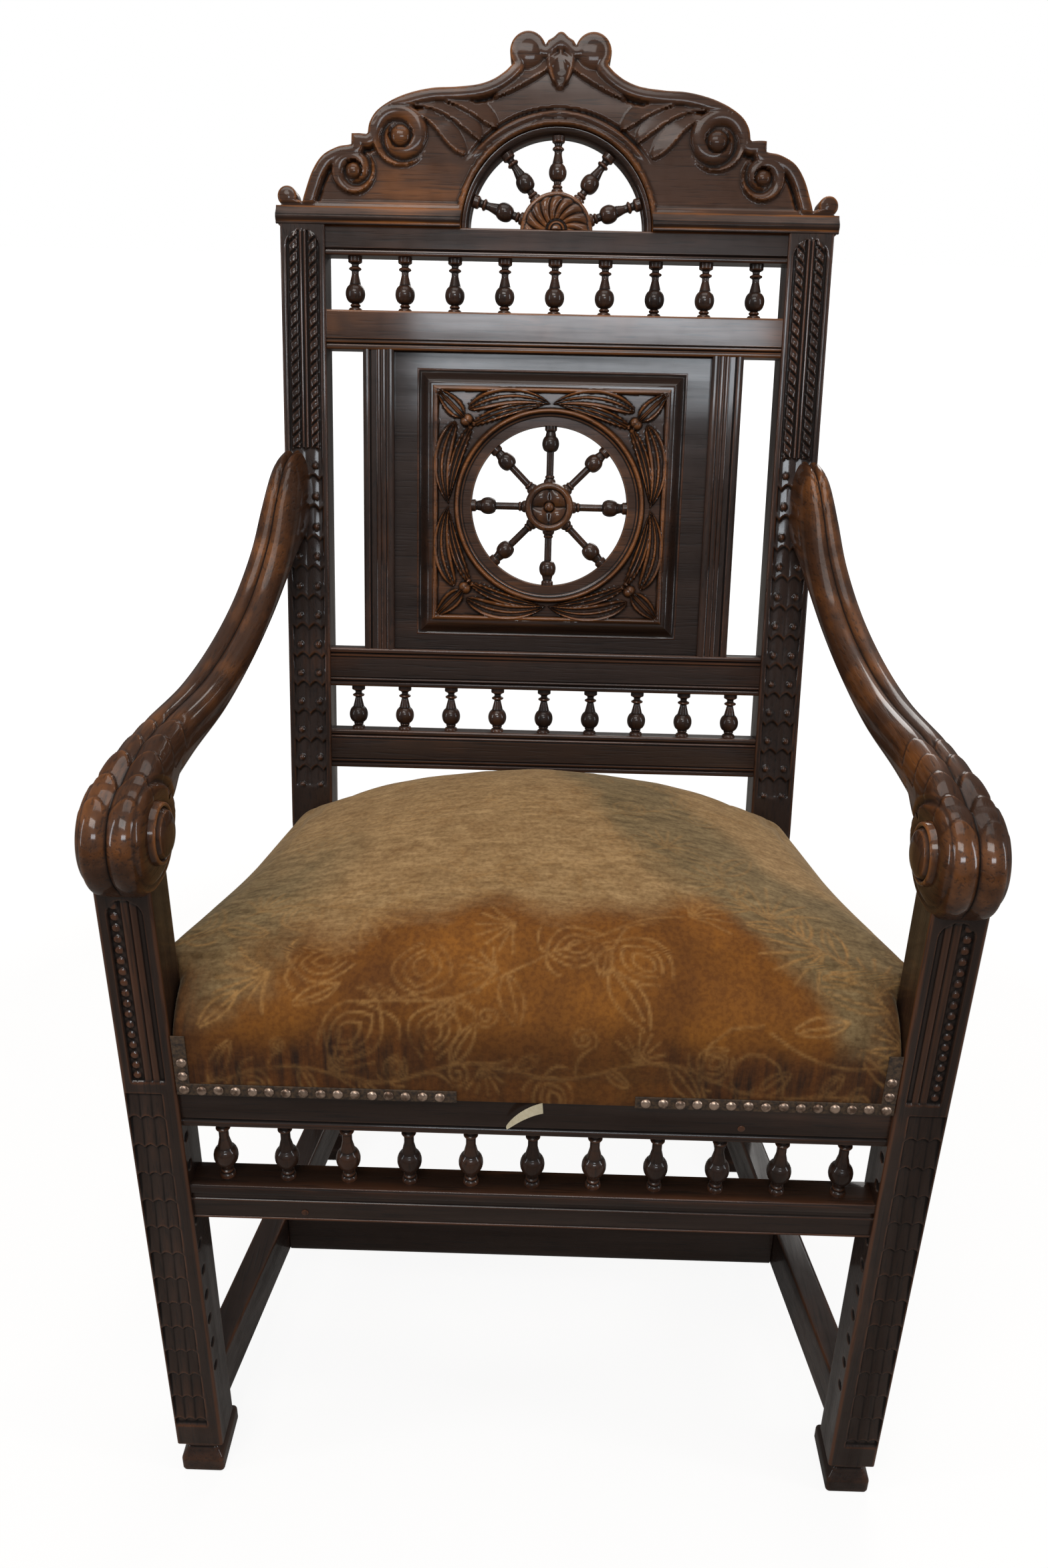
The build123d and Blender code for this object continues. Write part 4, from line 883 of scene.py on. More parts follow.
# %% Spokes, rings and hubs of the wheel and the half wheel
def spoke(turn, start, length, ball_at, middle, depth):
    """One spoke that runs outwards at an angle in the leaning plane."""
    radius, height = baluster(length, 17.4, ball_at, 12.4, 7.4)
    cos, sin = math.cos(turn), math.sin(turn)
    return turned(radius, height, lambda side, depth_in, tall: leaning(
        (start + tall) * cos - side * sin, middle + (start + tall) * sin + side * cos,
        depth + depth_in))


WHEEL_SPOKES, WHEEL_HUB, WHEEL_SPOKE = 8, 24.5, 56.5     # count, where one starts, its length
FAN_SPOKES, FAN_HUB, FAN_SPOKE = 5, 35.0, 50.5
wheel = [spoke(2 * math.pi * index / WHEEL_SPOKES, WHEEL_HUB, WHEEL_SPOKE, 0.68, PANEL_MID, -13)
         for index in range(WHEEL_SPOKES)]
make_piece("turned_wheel_spokes", wheel, dark_oak["z"], ["wheel_spokes"], "carved_oak", sharp=30)
fan = [spoke(math.pi * (index + 0.5) / FAN_SPOKES, FAN_HUB, FAN_SPOKE, 0.37, SLOPE_TOP, -14)
       for index in range(FAN_SPOKES)]
make_piece("turned_crest_spokes", fan, dark_oak["z"], ["crest_spokes"], "carved_oak", sharp=30)


def ring(radii, heights, turn, middle, count=160):
    """A closed profile (radius, out) turned in the leaning plane, from the right and up. A
    whole ring meets itself; half a ring has its ends shut."""
    angle = np.linspace(0, turn, count)[:, None]
    loops = leaning(radii * np.cos(angle), middle + radii * np.sin(angle), heights[None])
    return looped(loops) if turn > 6 else tube(loops)


def wheel_ring():
    """A rounded bead by the square, and a long slope in to the spokes."""
    share = np.linspace(0, 1, 40)
    bead, slope_in = 1 - ridge(share - 0.15, 0.16), ease(share, 0.34, 1.0)
    radii = np.concatenate([97.5 - 17 * share, [80.5, 88.0, 97.5]])
    front = np.maximum(-0.3 - 6 * bead, -5.5 - 7.5 * slope_in)
    return ring(radii, np.concatenate([front, [-25.5] * 3]), 2 * math.pi, PANEL_MID, 200)


make_piece("turned_wheel_ring", [wheel_ring()], carved_oak["x"], ["wheel_ring"], "carved_oak")
# the crest rim takes the darker oak of the rails, not the wheel ring's warmer oak, as painted shade
# in its recess
rim_r = np.array([93.8, 93.8, 92.6, 90.5, 88.4, 87.2, 86.2, 85.2, 85.0, 85.0, 89.0, 93.8])
rim_n = np.array([-14.0, -8.6, -7.4, -7.6, -9.0, -11.4, -12.6, -13.0, -14.4, -24.0, -24.0, -24.0])
make_piece("turned_crest_rim", [ring(rim_r, rim_n, math.pi, SLOPE_TOP)],
           dark_oak["x"], ["crest_rim"], "carved_oak", sharp=50)


def rosette(reach, angle):
    """Face of the wheel's hub in mm: a raised rim, four petals and a button."""
    petals = 3.4 * ridge(reach - 12, 6.5) * np.abs(np.cos(2 * angle + math.pi / 2)) ** 0.8
    rim = 3.6 * ridge(reach - 21.0, 3.4)
    button = 4.2 * ridge(reach, 5.0)
    return np.maximum(petals, np.maximum(rim, button)) * (reach < 24.8)


def gadroons(reach, angle):
    """Face of the half hub in mm: curved petals between a button and a rolled rim."""
    petals = 3.4 * np.abs(np.sin(8 * (angle + 0.02 * reach))) ** 0.6 * ridge(reach - 21.5, 11.0)
    rim = 2.2 * ridge(reach - 33.0, 2.4)
    button = 5.2 * ridge(reach, 8.5) - 1.2 * ridge(reach - 5.2, 1.2)
    return np.maximum(petals, np.maximum(rim, button)) * (reach < 35)


def half_hub():
    """The half hub on the top rail, flat below, its section turned through half a circle."""
    angle = np.linspace(0, math.pi, 120)[:, None]
    radius = np.concatenate([np.linspace(0.01, 35.1, 56), [35.5, 35.5, 0.01]])[None]
    out = np.concatenate([np.full(56, -7.4), [-8.6, -25.0, -25.0]])[None] + gadroons(radius, angle)
    return tube(leaning(radius * np.cos(angle), SLOPE_TOP + radius * np.sin(angle), out))


radius = np.concatenate([np.linspace(0.01, 24.6, 40), [25.0, 25.0]])
out = np.concatenate([np.full(40, -5.0), [-6.0, -25.0]])
hub = turned(radius, out, lambda x, y, n: leaning(x, PANEL_MID + y, n), 96, rosette)
make_piece("rosette_hub", [hub], carved_oak["z"], ["wheel_hub"], "carved_oak")
make_piece("gadrooned_half_hub", [half_hub()], carved_oak["x"], ["crest_hub"], "carved_oak")

# %% [markdown]
# ## The pierced crest
#
# The crest is one board, sawn to a hooked outline and then carved, so its outline can't
# be laid on a plain grid. The saw line is written as curves through a few points. The
# face inside it is filled with an even net of points, joined by Blender's triangulation,
# and its height is one carving function of the place and of the distance to the saw line.
# Only the right half is described: the carving reads x without its sign.

# %% The saw line of the crest
BOARD_OUT = corners("crest_board")[1][0]
ARCH = 94.0
TALL = 174.0                            # the point in the middle, over the top rail


def curve_through(points, spacing):
    """A smooth curve (Catmull-Rom) through all the points, sampled about evenly."""
    points = np.array(points, float)
    ends = np.concatenate([2 * points[:1] - points[1:2], points, 2 * points[-1:] - points[-2:-1]])
    pieces = []
    for before, start, end, after in zip(ends, ends[1:], ends[2:], ends[3:]):
        count = max(2, round(math.dist(start, end) / spacing) + 1)
        t = np.linspace(0, 1, count)[:-1, None]
        pieces.append(0.5 * (2 * start + (end - before) * t
                             + (2 * before - 5 * start + 4 * end - after) * t ** 2
                             + (3 * start - before - 3 * end + after) * t ** 3))
    return np.concatenate(pieces + [points[-1:]])


def arc(centre, radius, first, last, spacing=1.6):
    """Points on a circle between two angles in degrees."""
    count = round(abs(math.radians(last - first)) * radius / spacing) + 2
    angle = np.radians(np.linspace(first, last, count))
    return np.column_stack([centre[0] + radius * np.cos(angle), centre[1] + radius * np.sin(angle)])


END_CURL, END_RADIUS = (BOARD_OUT - 9.6, 25.6), 9.4
TOP_BALL, TOP_RADIUS = (31.0, 157.0), 17.4


def saw_line():
    """Right half of the outline, anticlockwise from the arch to the middle point."""
    foot = np.column_stack([np.linspace(ARCH, BOARD_OUT, 100), np.zeros(100)])
    curl = arc(END_CURL, END_RADIUS, -52, 196)
    small = curve_through([(249, 21), (246.5, 29), (239, 48.5), (228.9, 62.6), (214.5, 70.4),
                           (203, 72.6)], 1.6)
    spur = np.array([(200.6, 73.2), (200.2, 82.8), (193, 83.0), (186, 82.4)])
    large = curve_through([(184.6, 83.4), (182.6, 93), (175.6, 103.2), (161.6, 112.4),
                           (143.5, 119.4), (121.8, 123.9), (100, 125.2), (79, 127.6),
                           (64.5, 132.2), (53, 139.2), (45.6, 146)], 1.6)
    ball = arc(TOP_BALL, TOP_RADIUS, -34, 160)
    tip = curve_through([(12.2, 166.6), (7, 169.6), (2.6, 173.4), (0, TALL)], 1.2)
    corner = [(BOARD_OUT, 0), (BOARD_OUT, 15.5)]
    edge = np.concatenate([foot[:-1], corner, curl, small, spur, large, ball, tip])
    return edge, arc((0, 0), ARCH, 90, 0)


crest_edge, crest_arch = saw_line()
print("points on half the saw line:", len(crest_edge) + len(crest_arch))

# %% [markdown]
# The carving follows what the knife did: a band along the top edge, a large volute and a
# smaller one below it, three long lobes that sweep from beside the arch out to the large
# volute, and a drooping leaf under the point. Between them the ground was cut back and
# left plain.

# %% Carving of the crest
LOBES = (([(90, 66), (101, 79), (115, 95), (131, 103), (146, 100)], 9.0),
         ([(75, 79), (85, 93), (101, 105), (121, 111), (142, 109)], 9.0),
         ([(60, 90), (68, 99), (82, 109), (100, 115), (120, 117)], 8.0))


def crest_carving(x, up, edge):
    """Relief in mm over the crest board, from its place and its distance to the saw line."""
    x = np.abs(x)
    away_large, away_small = np.hypot(x - 153, up - 82), np.hypot(x - 199, up - 50)
    near_top = ease(up + 0.45 * x, 100, 116) * ease(away_large, 22, 28)
    band = (0.75 + 0.25 * ridge(edge - 5.5, 5.5)) * ease(12.5 - edge, 0, 1.6) * near_top
    rim = 0.8 * ridge(edge - 3.0, 3.4) * ease(x, 186, 200) * ease(away_small, 17, 20)
    large = coil(x, up, (153, 82), 28, 1.35, start=0.1, hand=-1)
    small = coil(x, up, (199, 50), 21.5, 1.2, start=0.35, hand=-1)
    curl = 1.1 * ridge(np.hypot(x - END_CURL[0], up - END_CURL[1]), 8.4)
    ball = 1.25 * ridge(np.hypot(x - TOP_BALL[0], up - TOP_BALL[1]), 16.6)
    lobes = [leaf(x, up, curve_through(line, 3), width, tilted=True) for line, width in LOBES]
    droop = [leaf(x, up, bow((0, 168), (0, 150), (0, 124)), 14.0),
             leaf(x, up, bow((4, 152), (30, 146), (64, 116)), 10.0, tilted=True)]
    spur = 0.9 * ridge(np.hypot((x - 190) / 1.6, up - 77), 5.0)
    carved = np.maximum.reduce([band, rim, large, small, curl, ball, spur] + lobes + droop)
    carved = carved - 0.55 * ridge(edge - 14.2, 1.6) * near_top * (carved < 0.35)
    ring_line = ridge(np.hypot(x, up) - ARCH - 2.2, 1.8)
    sunk = ease(up, 18, 21) * ease(np.hypot(x, up) - ARCH, 2, 5)
    return np.maximum(sunk * (4.2 * carved - 2.6), np.where(sunk < 1, 0.5 * ring_line - 0.5, -9))


# %% Skin of the crest
def crest_skin(spacing=1.45, face=-3.0, rear=-27.0):
    """Front and back of the board inside its saw line, joined by an edge; the front is
    rounded over where it is less than 1.6 mm from the line."""
    left = (crest_edge * (-1, 1))[::-1][1:]
    inner = np.concatenate([(crest_arch * (-1, 1))[::-1], crest_arch[1:]])[1:-1]
    outline = np.concatenate([crest_edge, left, inner])
    x, up = np.meshgrid(np.arange(spacing / 2, BOARD_OUT, spacing), np.arange(0.6, TALL, spacing))
    x, up = x.ravel() + (np.round(up.ravel() / spacing) % 2) * spacing / 2, up.ravel()
    step = np.diff(crest_edge, axis=0)
    out = np.column_stack([step[:, 1], -step[:, 0]]) / np.hypot(*step.T)[:, None]
    middles = (crest_edge[1:] + crest_edge[:-1]) / 2
    rings = np.concatenate([middles - depth * out for depth in (0.5, 1.1, 1.9)])
    x, up = np.concatenate([x, rings[:, 0]]), np.concatenate([up, rings[:, 1]])
    _, side = along(x, up, np.concatenate([crest_arch, crest_edge]))
    keep = (side > 0.42) & (x > 0.2) & (np.hypot(x, up) > ARCH + 0.8)
    x, up, side = x[keep], up[keep], side[keep]
    inside = np.concatenate([np.column_stack([x, up]), np.column_stack([-x, up])])
    edge = np.concatenate([np.zeros(len(outline)), side, side])
    flat = np.concatenate([outline, inside])
    loop = list(range(len(outline)))
    net = delaunay_2d_cdt([Vector(point) for point in flat], [], [loop], 1, 1e-5)
    assert len(net[0]) == len(flat), (len(net[0]), len(flat))
    relief = crest_carving(flat[:, 0], flat[:, 1], edge)
    relief = relief - 1.5 * (1 - np.sqrt(1 - (1 - np.clip(edge / 1.6, 0, 1)) ** 2))
    front = leaning(flat[:, 0], SLOPE_TOP + flat[:, 1], face + relief)
    base = leaning(outline[:, 0], SLOPE_TOP + outline[:, 1], rear)
    back = delaunay_2d_cdt([Vector(point) for point in outline], [], [loop], 1, 1e-5)
    behind = len(flat)
    wall = [(a, b, b + behind, a + behind) for a, b in zip(loop, loop[1:] + loop[:1])]
    rear_faces = [tuple(index + behind for index in triangle) for triangle in back[2]]
    return np.concatenate([front, base]), list(net[2]) + rear_faces + wall


make_piece("carved_crest", [crest_skin()], rubbed_oak["x"], ["crest_board"], "carved_oak", sharp=65)

# %% Moulding along the foot of the crest
def crest_moulding():
    """A strip along the foot of the crest: a fascia, a round and a cove up its height, from
    the arch to a little past the end of the board."""
    share = np.linspace(0, 1, 26)
    proud = 3.4 + 1.1 * ease(share, 0.1, 0.34) - 5.0 * ease(share, 0.45, 1.0)
    proud = proud + 0.9 * ridge(share - 0.36, 0.2)
    up = np.concatenate([17 * share, [17.0, 0.0]])
    out = np.concatenate([proud - 3, [-3.2, -3.2]]) + 0.4
    t = np.linspace(0, 1, 30)[:, None]
    start = np.sqrt(ARCH ** 2 - up ** 2)[None] + 0.4
    return tube(leaning(start + (BOARD_OUT + 1.4 - start) * t, SLOPE_TOP + up[None], out[None]))


make_pair("crest_foot", crest_moulding(), rubbed_oak["x"], "crest_moulding", "carved_oak", sharp=50)

# %% [markdown]
# ## The arms
#
# Each arm is one piece of wood: a bar that sweeps down from the post and rolls over into
# a drum on the leg. Seen from the side it is one closed line, so the skin is made of
# ribs: a rib starts on a spine inside the arm, climbs one side, crosses the rim and
# comes down the other. The ribs of the top and of the underside share the spine, which
# closes the skin. The carver then ran a deep groove down the middle of the rim, and cut
# overlapping leaf scales on both rolls beside it.

# %% Side view of an arm
SCROLL_Y, SCROLL_RADIUS, SCROLL_RISE = 18.0, 43.0, 34.0
SCROLL_Z = LEG_HIGH[2] - 13.0 + SCROLL_RISE
ARM_OUT, ARM_OUT_BACK = corners("arm_right")[1][0], POST_HIGH[0] + 9.0
ARM_END, BAR_START, LINE_END = 521.0, 62.0, 525.0
TOP_LINE = curve_through([(18, 703), (58.6, 713), (119.4, 714), (200.5, 713), (276.6, 723),
                          (347.6, 744), (408.4, 777), (449, 814), (484.4, 840), (LINE_END, 847)], 4)
UNDER_LINE = curve_through([(40, 662), (119.4, 674), (200.5, 680), (276.6, 694), (347.6, 712),
                            (408.4, 730), (449, 741), (484.4, 750), (LINE_END, 756)], 4)


def rim_and_spine():
    """Rim points, their spine points and the rim's length from the top of the drum, round
    the whole side view: bar top, drum, underside."""
    bar_y = np.concatenate([np.linspace(ARM_END, 220, 90), np.linspace(218, BAR_START, 90)])
    top = np.column_stack([bar_y, np.interp(bar_y, *TOP_LINE.T)])
    under = np.column_stack([bar_y, np.interp(bar_y, *UNDER_LINE.T)])
    spine = (top + under) / 2
    count = 24
    share = np.linspace(0, 1, count + 1)[1:]
    near_y = BAR_START + (SCROLL_Y - BAR_START) * share
    near_top = np.column_stack([near_y, np.interp(near_y, *TOP_LINE.T)])
    centre = np.array([SCROLL_Y, SCROLL_Z])
    near_spine = spine[-1] + (centre - spine[-1]) * share[:, None]
    drum = arc(centre, SCROLL_RADIUS, 92, 300, 2.2)
    meet = math.degrees(math.asin((under[-1, 1] - SCROLL_Z) / SCROLL_RADIUS))
    under_drum = arc(centre, SCROLL_RADIUS, 302, 360 + meet, 2.2)
    under_drum = under_drum[np.linspace(0, len(under_drum) - 1, count).astype(int)]
    rim = np.concatenate([top, near_top, drum, under_drum, under[::-1]])
    inside = np.concatenate([spine, near_spine, np.repeat(centre[None], len(drum), axis=0),
                             near_spine[::-1], spine[::-1]])
    length = np.concatenate([[0], np.cumsum(np.hypot(*np.diff(rim, axis=0).T))])
    return rim, inside, length[len(top) + count - 1] - length


arm_rim, arm_spine, arm_run = rim_and_spine()
print("ribs in an arm:", len(arm_rim), "rim in mm:", round(float(arm_run[0] - arm_run[-1])))


# %% Carving of an arm
SCALE_STEP = 28.0


def arm_carving(run, across, facing):
    """Relief in mm. run is the length behind the top of the drum, across -1 to 1 over the
    width, facing 1 on the rim and 0 on the sides."""
    beside = np.abs(across)
    upper = ease(run, -118, -100)
    cleft = -4.6 * np.clip(1 - beside / 0.5, 0, 1) ** 2.2 * facing
    # leaf scales with round tips that point back, deepest over the drum
    tip = 13 * (1 - ((beside - 0.52) / 0.5) ** 2)
    place = ((run - tip) / SCALE_STEP) % 1
    scale = 3.0 * (place ** 0.8 * ease(1 - place, 0, 0.1) - 0.75)
    scale = scale * (1 - 0.3 * ridge(beside - 0.5, 0.3))
    scaled = ease(run, -34, -8) * ease(124 - run, 0, 46)
    # two leaves laid in a V where the bar swells into the post
    slant = (run - 470 - 42 * beside) / 30
    vee = -1.6 * ridge((slant % 1 - 0.5) * 30, 2.4) * ease(run, 430, 470)
    return upper * (cleft + scaled * scale * (0.35 + 0.65 * facing)) + vee * facing


def drum_carving(y, z):
    """Relief in mm of the flat sides of the drum: a volute that winds in to the middle."""
    return 3.2 * coil(-y, z, (-SCROLL_Y, SCROLL_Z), SCROLL_RADIUS - 3.0, 1.7, start=0.1) - 1.6


# %% Skin of an arm
def arm_skin():
    """Ribs as superellipses: at an angle across the rim the point is (sin, cos) over the
    p-norm of the two; p grows from 2.5 on the bar to 5 on the flat-sided drum."""
    y, run = arm_rim[:, 0], arm_run
    share = np.clip((y - SCROLL_Y) / (LINE_END - SCROLL_Y), 0, 1)
    outer = ARM_OUT - 0.6 + (ARM_OUT_BACK - ARM_OUT) * share
    width = 47.0 - 3.5 * ease(y, 40, 90) - 8.5 * share
    power = (5.0 - 2.5 * ease(np.hypot(y - SCROLL_Y, arm_rim[:, 1] - SCROLL_Z), 44, 72))[:, None]
    turn = np.radians(np.linspace(-90, 90, 89))[None]
    sine, cosine = np.sin(turn), np.cos(turn)
    norm = (np.abs(sine) ** power + np.abs(cosine) ** power) ** (1 / power)
    across, reach = sine / norm, cosine / norm
    reach[:, [0, -1]] = 0
    direction = arm_rim - arm_spine
    half = np.hypot(*direction.T)[:, None]
    direction = direction / half
    # the surface faces along the gradient of the superellipse
    side = np.sign(across) * np.abs(across) ** (power - 1) / (width[:, None] / 2)
    out = reach ** (power - 1) / half
    size = np.hypot(side, out)
    side, out = side / size, out / size
    relief = arm_carving(run[:, None], across, np.clip(out, 0, 1) ** 2)
    x = (outer - width / 2)[:, None] + across * (width / 2)[:, None]
    flat = arm_spine[:, None] + direction[:, None] * (reach * half)[..., None]
    on_drum = ease(46 - np.hypot(flat[..., 0] - SCROLL_Y, flat[..., 1] - SCROLL_Z), 0, 3)
    volute = drum_carving(flat[..., 0], flat[..., 1]) * np.abs(side) ** 4 * on_drum
    push = relief + volute
    fade = np.minimum(1, reach * half / 4.0)
    x = x + push * side * np.where(on_drum > 0, 1, fade)
    flat = flat + direction[:, None] * (push * out)[..., None]
    points = np.concatenate([x[..., None], flat], axis=-1)
    return points.reshape(-1, 3), rib_quads(*x.shape)


def rib_quads(ribs, columns):
    """Quads between neighbouring ribs, the last one joined to the first."""
    quads = grid_quads(ribs, columns)
    first, last = np.arange(columns), np.arange(columns) + (ribs - 1) * columns
    closing = np.stack([last[:-1], last[1:], first[1:], first[:-1]], axis=-1)
    return np.concatenate([quads, closing])


make_pair("leaf_carved_arm", arm_skin(), rubbed_oak["y"], "arm", "carved_oak", sharp=70)


# %% Bosses inside the scrolls
def boss():
    """A turned button on the inner face of the right scroll: a ledge, a groove and a dome."""
    low, high = corners("arm_boss_right")
    radius = (high[2] - low[2]) / 2
    share = np.linspace(0, 1, 44)
    reach = radius * (1 - share)
    tall = 3.6 * ease(share, 0, 0.06) + 2.0 * ridge(share - 0.12, 0.08)
    tall -= 1.2 * ridge(share - 0.24, 0.05)
    tall += 8.0 * ridge(1 - share, 0.80) * (share > 0.2)
    middle = (low + high) / 2
    face = high[0] + 0.4

    def place(side, up, out):
        return np.stack([face - out, middle[1] + side, middle[2] + up], axis=-1)

    return turned(np.concatenate([[radius], reach]), np.concatenate([[-2.0], tall]), place, 72)


make_pair("turned_boss", boss(), carved_oak["z"], "arm_boss", "carved_oak")

# %% [markdown]
# ## The seat
#
# The seat is stuffed over the rails: webs are strained below, horsehair is heaped on
# them, and the velvet is pulled down over the edges and nailed. Its skin is one closed
# grid. The top is a height over the plan, rounded over at the edges, and a skirt hangs
# from its border and turns in over the rails.

# %% Heights of the seat over its plan
FRONT_ROLL, BACK_ROLL, SIDE_ROLL = 60.0, 35.0, 15.0
BRAID_LOW = corners("seat_braid")[0][2]
SEAT_REAR = 430.0
MIDDLE_LINE = curve_through([(0, 565), (60, 567), (140, 573), (215, 574), (300, 568), (390, 551),
                             (SEAT_REAR, 546)], 4)
SIDE_LINE = curve_through([(0, 538), (60, 537), (215, 513), (390, 495), (SEAT_REAR, 492)], 4)


def drop(share):
    """How far a quarter circle has fallen, at a share of its width."""
    return 1 - np.sqrt(1 - np.clip(share, 0, 1) ** 2)


def seat_half(y):
    """Half width: the cover stops at the front legs, then spreads out over the side rails."""
    beside, behind = LEG_IN - 0.5, side_middle(np.maximum(y, LEG_HIGH[1])) + 15.5
    return beside + (behind - beside) * ease(y, LEG_HIGH[1] + 0.5, LEG_HIGH[1] + 7)


def crown(x, y):
    """Height of the stuffing before its edges are rounded, arched across; and the arch."""
    arch = 1 - (x / seat_half(y)) ** 2
    side, middle = np.interp(y, *SIDE_LINE.T), np.interp(y, *MIDDLE_LINE.T)
    return side + (middle - side) * arch, arch


def seat_grid():
    """Rows of points over the plan, packed closer where the cover curves down."""
    low, high = corners("seat_cushion")
    front, back = low[1] + 0.3, high[1] - 2.0
    quarter = np.linspace(0, np.pi / 2, 25)
    y = np.concatenate([front + FRONT_ROLL * (1 - np.cos(quarter)),
                        np.linspace(front + FRONT_ROLL, back - BACK_ROLL, 96)[1:-1],
                        back - BACK_ROLL * (1 - np.sin(quarter[::2]))])[:, None]
    half, bend = seat_half(y), SIDE_ROLL * np.sin(quarter[4::4])
    x = np.concatenate([SIDE_ROLL - half - bend[::-1],
                        (half - SIDE_ROLL) * np.linspace(-1, 1, 162),
                        half - SIDE_ROLL + bend], axis=1)
    z, arch = crown(x, y)
    z = z - (46 + 20 * arch) * drop(1 - (y - front) / FRONT_ROLL)
    z = z - (16 + 20 * arch) * drop(1 - (back - y) / BACK_ROLL)
    z = z - SIDE_ROLL * drop(1 - (half - np.abs(x)) / SIDE_ROLL)
    return np.stack([x, np.broadcast_to(y, x.shape), z], axis=-1)


# %% Closed skin of the seat
def seat_skin():
    """The top, and a strip of loops from its border down the skirt and in over the rails."""
    top = seat_grid()
    border = np.concatenate([top[0], top[1:, -1], top[-1, -2::-1], top[-2:0:-1, 0]])
    share = np.linspace(0, 1, 13)[:, None, None]
    floor = np.array((border[:, 0], border[:, 1], np.full(len(border), BRAID_LOW))).T
    skirt = border * (1 - share) + floor * share
    middle = (border.min(axis=0) + border.max(axis=0)) / 2
    reach = np.abs(border - middle).max(axis=0)

    def inset(depth, height):
        ring = middle + (border - middle) * (1 - depth / reach)
        ring[:, 2] = height
        return ring[None]

    under = SEAT_RAIL_HIGH[2] + 0.5
    bottom = corners("seat_cushion")[0][2] + 0.3
    strip = np.concatenate([skirt, inset(3.0, BRAID_LOW), inset(3.5, under), inset(36.0, under),
                            inset(36.0, bottom), inset(reach.min() - 1, bottom)])
    return [(top.reshape(-1, 3), grid_quads(*top.shape[:2])),
            looped(np.concatenate([strip, shut(strip[-1:])]))]


# %% [markdown]
# A short cloth simulation presses the cover outwards against its nailed edge, which gives
# the soft unevenness of stuffing that a formula lacks. The edge, and the parts that lie
# against wood, are pinned. How far a point may move is capped, so the seat keeps clear
# of the arms and its own size.

# %% Press the cover out
def read_points(mesh):
    """Points of a mesh as an array, in mm from the front of the legs."""
    points = np.zeros(len(mesh.vertices) * 3, np.float32)
    mesh.vertices.foreach_get("co", points)
    return points.reshape(-1, 3).astype(float) * 1000 - (0, FRONT_Y, 0)


def puff(piece, cap):
    """Twenty frames of cloth under pressure; cap is how far each point may move, in mm,
    and 0 pins it."""
    before = read_points(piece.data)
    pinned = piece.vertex_groups.new(name="nailed")
    pinned.add(np.flatnonzero(cap < 0.05).tolist(), 1.0, "REPLACE")
    cover = piece.modifiers.new("cover", "CLOTH")
    cover.settings.vertex_group_mass = "nailed"
    cover.settings.use_pressure = True
    cover.settings.uniform_pressure_force = 4.0
    cover.settings.effector_weights.gravity = 0.0
    cover.settings.quality = 4
    cover.collision_settings.use_collision = False
    cover.point_cache.frame_start, cover.point_cache.frame_end = 1, 20
    for frame_number in range(1, 21):
        bpy.context.scene.frame_set(frame_number)
    shaped = piece.evaluated_get(bpy.context.evaluated_depsgraph_get())
    after = read_points(shaped.data)
    piece.modifiers.remove(cover)
    piece.vertex_groups.clear()
    bpy.context.scene.frame_set(1)
    move = after - before
    far = np.linalg.norm(move, axis=1)
    move *= (np.minimum(far, cap) / np.maximum(far, 1e-6))[:, None]
    moved = (before + move + (0, FRONT_Y, 0)) / 1000
    piece.data.vertices.foreach_set("co", moved.astype(np.float32).ravel())
    kept = np.linalg.norm(move, axis=1)
    print(f"cover moved by up to {far.max():.1f} mm, kept {kept.max():.1f}")


def refine(piece):
    """One subdivision, applied."""
    smooth = piece.modifiers.new("smooth", "SUBSURF")
    smooth.levels = smooth.render_levels = 1
    smooth.use_limit_surface = False
    shaped = piece.evaluated_get(bpy.context.evaluated_depsgraph_get())
    mesh = bpy.data.meshes.new_from_object(shaped)
    piece.modifiers.clear()
    piece.data = mesh


# %% [markdown]
# ## The figured velvet
#
# The figure is a trailing stem with buds, leaves and fronds, drawn as thin lines on the
# unrolled cover: x across, v forwards and down over the front roll. A motif is a few
# curves of unit length, and a rule grows motifs in turn on both sides of a stem. The
# cloth has worn unevenly and is pale where it was sat on; it is darker down the front
# roll and at its front corners.

# %% Motifs of the figure
def both(start, pull, end):
    """A curve and its mirror image across the middle line of a motif."""
    return [bow(start, (pull[0], side * pull[1]), (end[0], side * end[1])) for side in (-1, 1)]


def blade(turn):
    """One blade of a frond, at an angle from its middle line."""
    tip = (0.75 + 0.25 * math.cos(2 * turn)) * math.cos(turn), math.sin(turn)
    return bow((0, 0), (0.45 * math.cos(turn), 0.4 * math.sin(turn)), tip)


def spiral(turn):
    """A curl whose radius shrinks evenly as it turns."""
    radius = 0.3 - 0.025 * turn
    return np.column_stack([0.75 + radius * np.sin(turn), 0.35 - radius * np.cos(turn)])


BUD = (both((0, 0), (0.30, 0.80), (1, 0.04)) + both((0.12, 0), (0.42, 0.50), (0.84, 0))
       + both((0.30, 0), (0.50, 0.26), (0.70, 0)) + both((0, 0), (-0.2, 0.30), (0.06, 0.52)))
LEAF = both((0, 0), (0.40, 0.36), (1, 0)) + [bow((0, 0), (0.5, 0.06), (0.86, 0))]
FROND = [blade(turn) for turn in np.linspace(-1, 1, 7)]
CURL = [bow((0, 0), (0.35, 0.30), (0.75, 0.05)), spiral(np.linspace(0, 3.4 * np.pi, 40))]


def laid(motif, x, v, angle, size):
    """Curves of a motif turned by an angle in degrees, scaled and moved to a place."""
    cos, sin = math.cos(math.radians(angle)), math.sin(math.radians(angle))
    return [curve @ np.array([(cos, sin), (-sin, cos)]) * size + (x, v) for curve in motif]


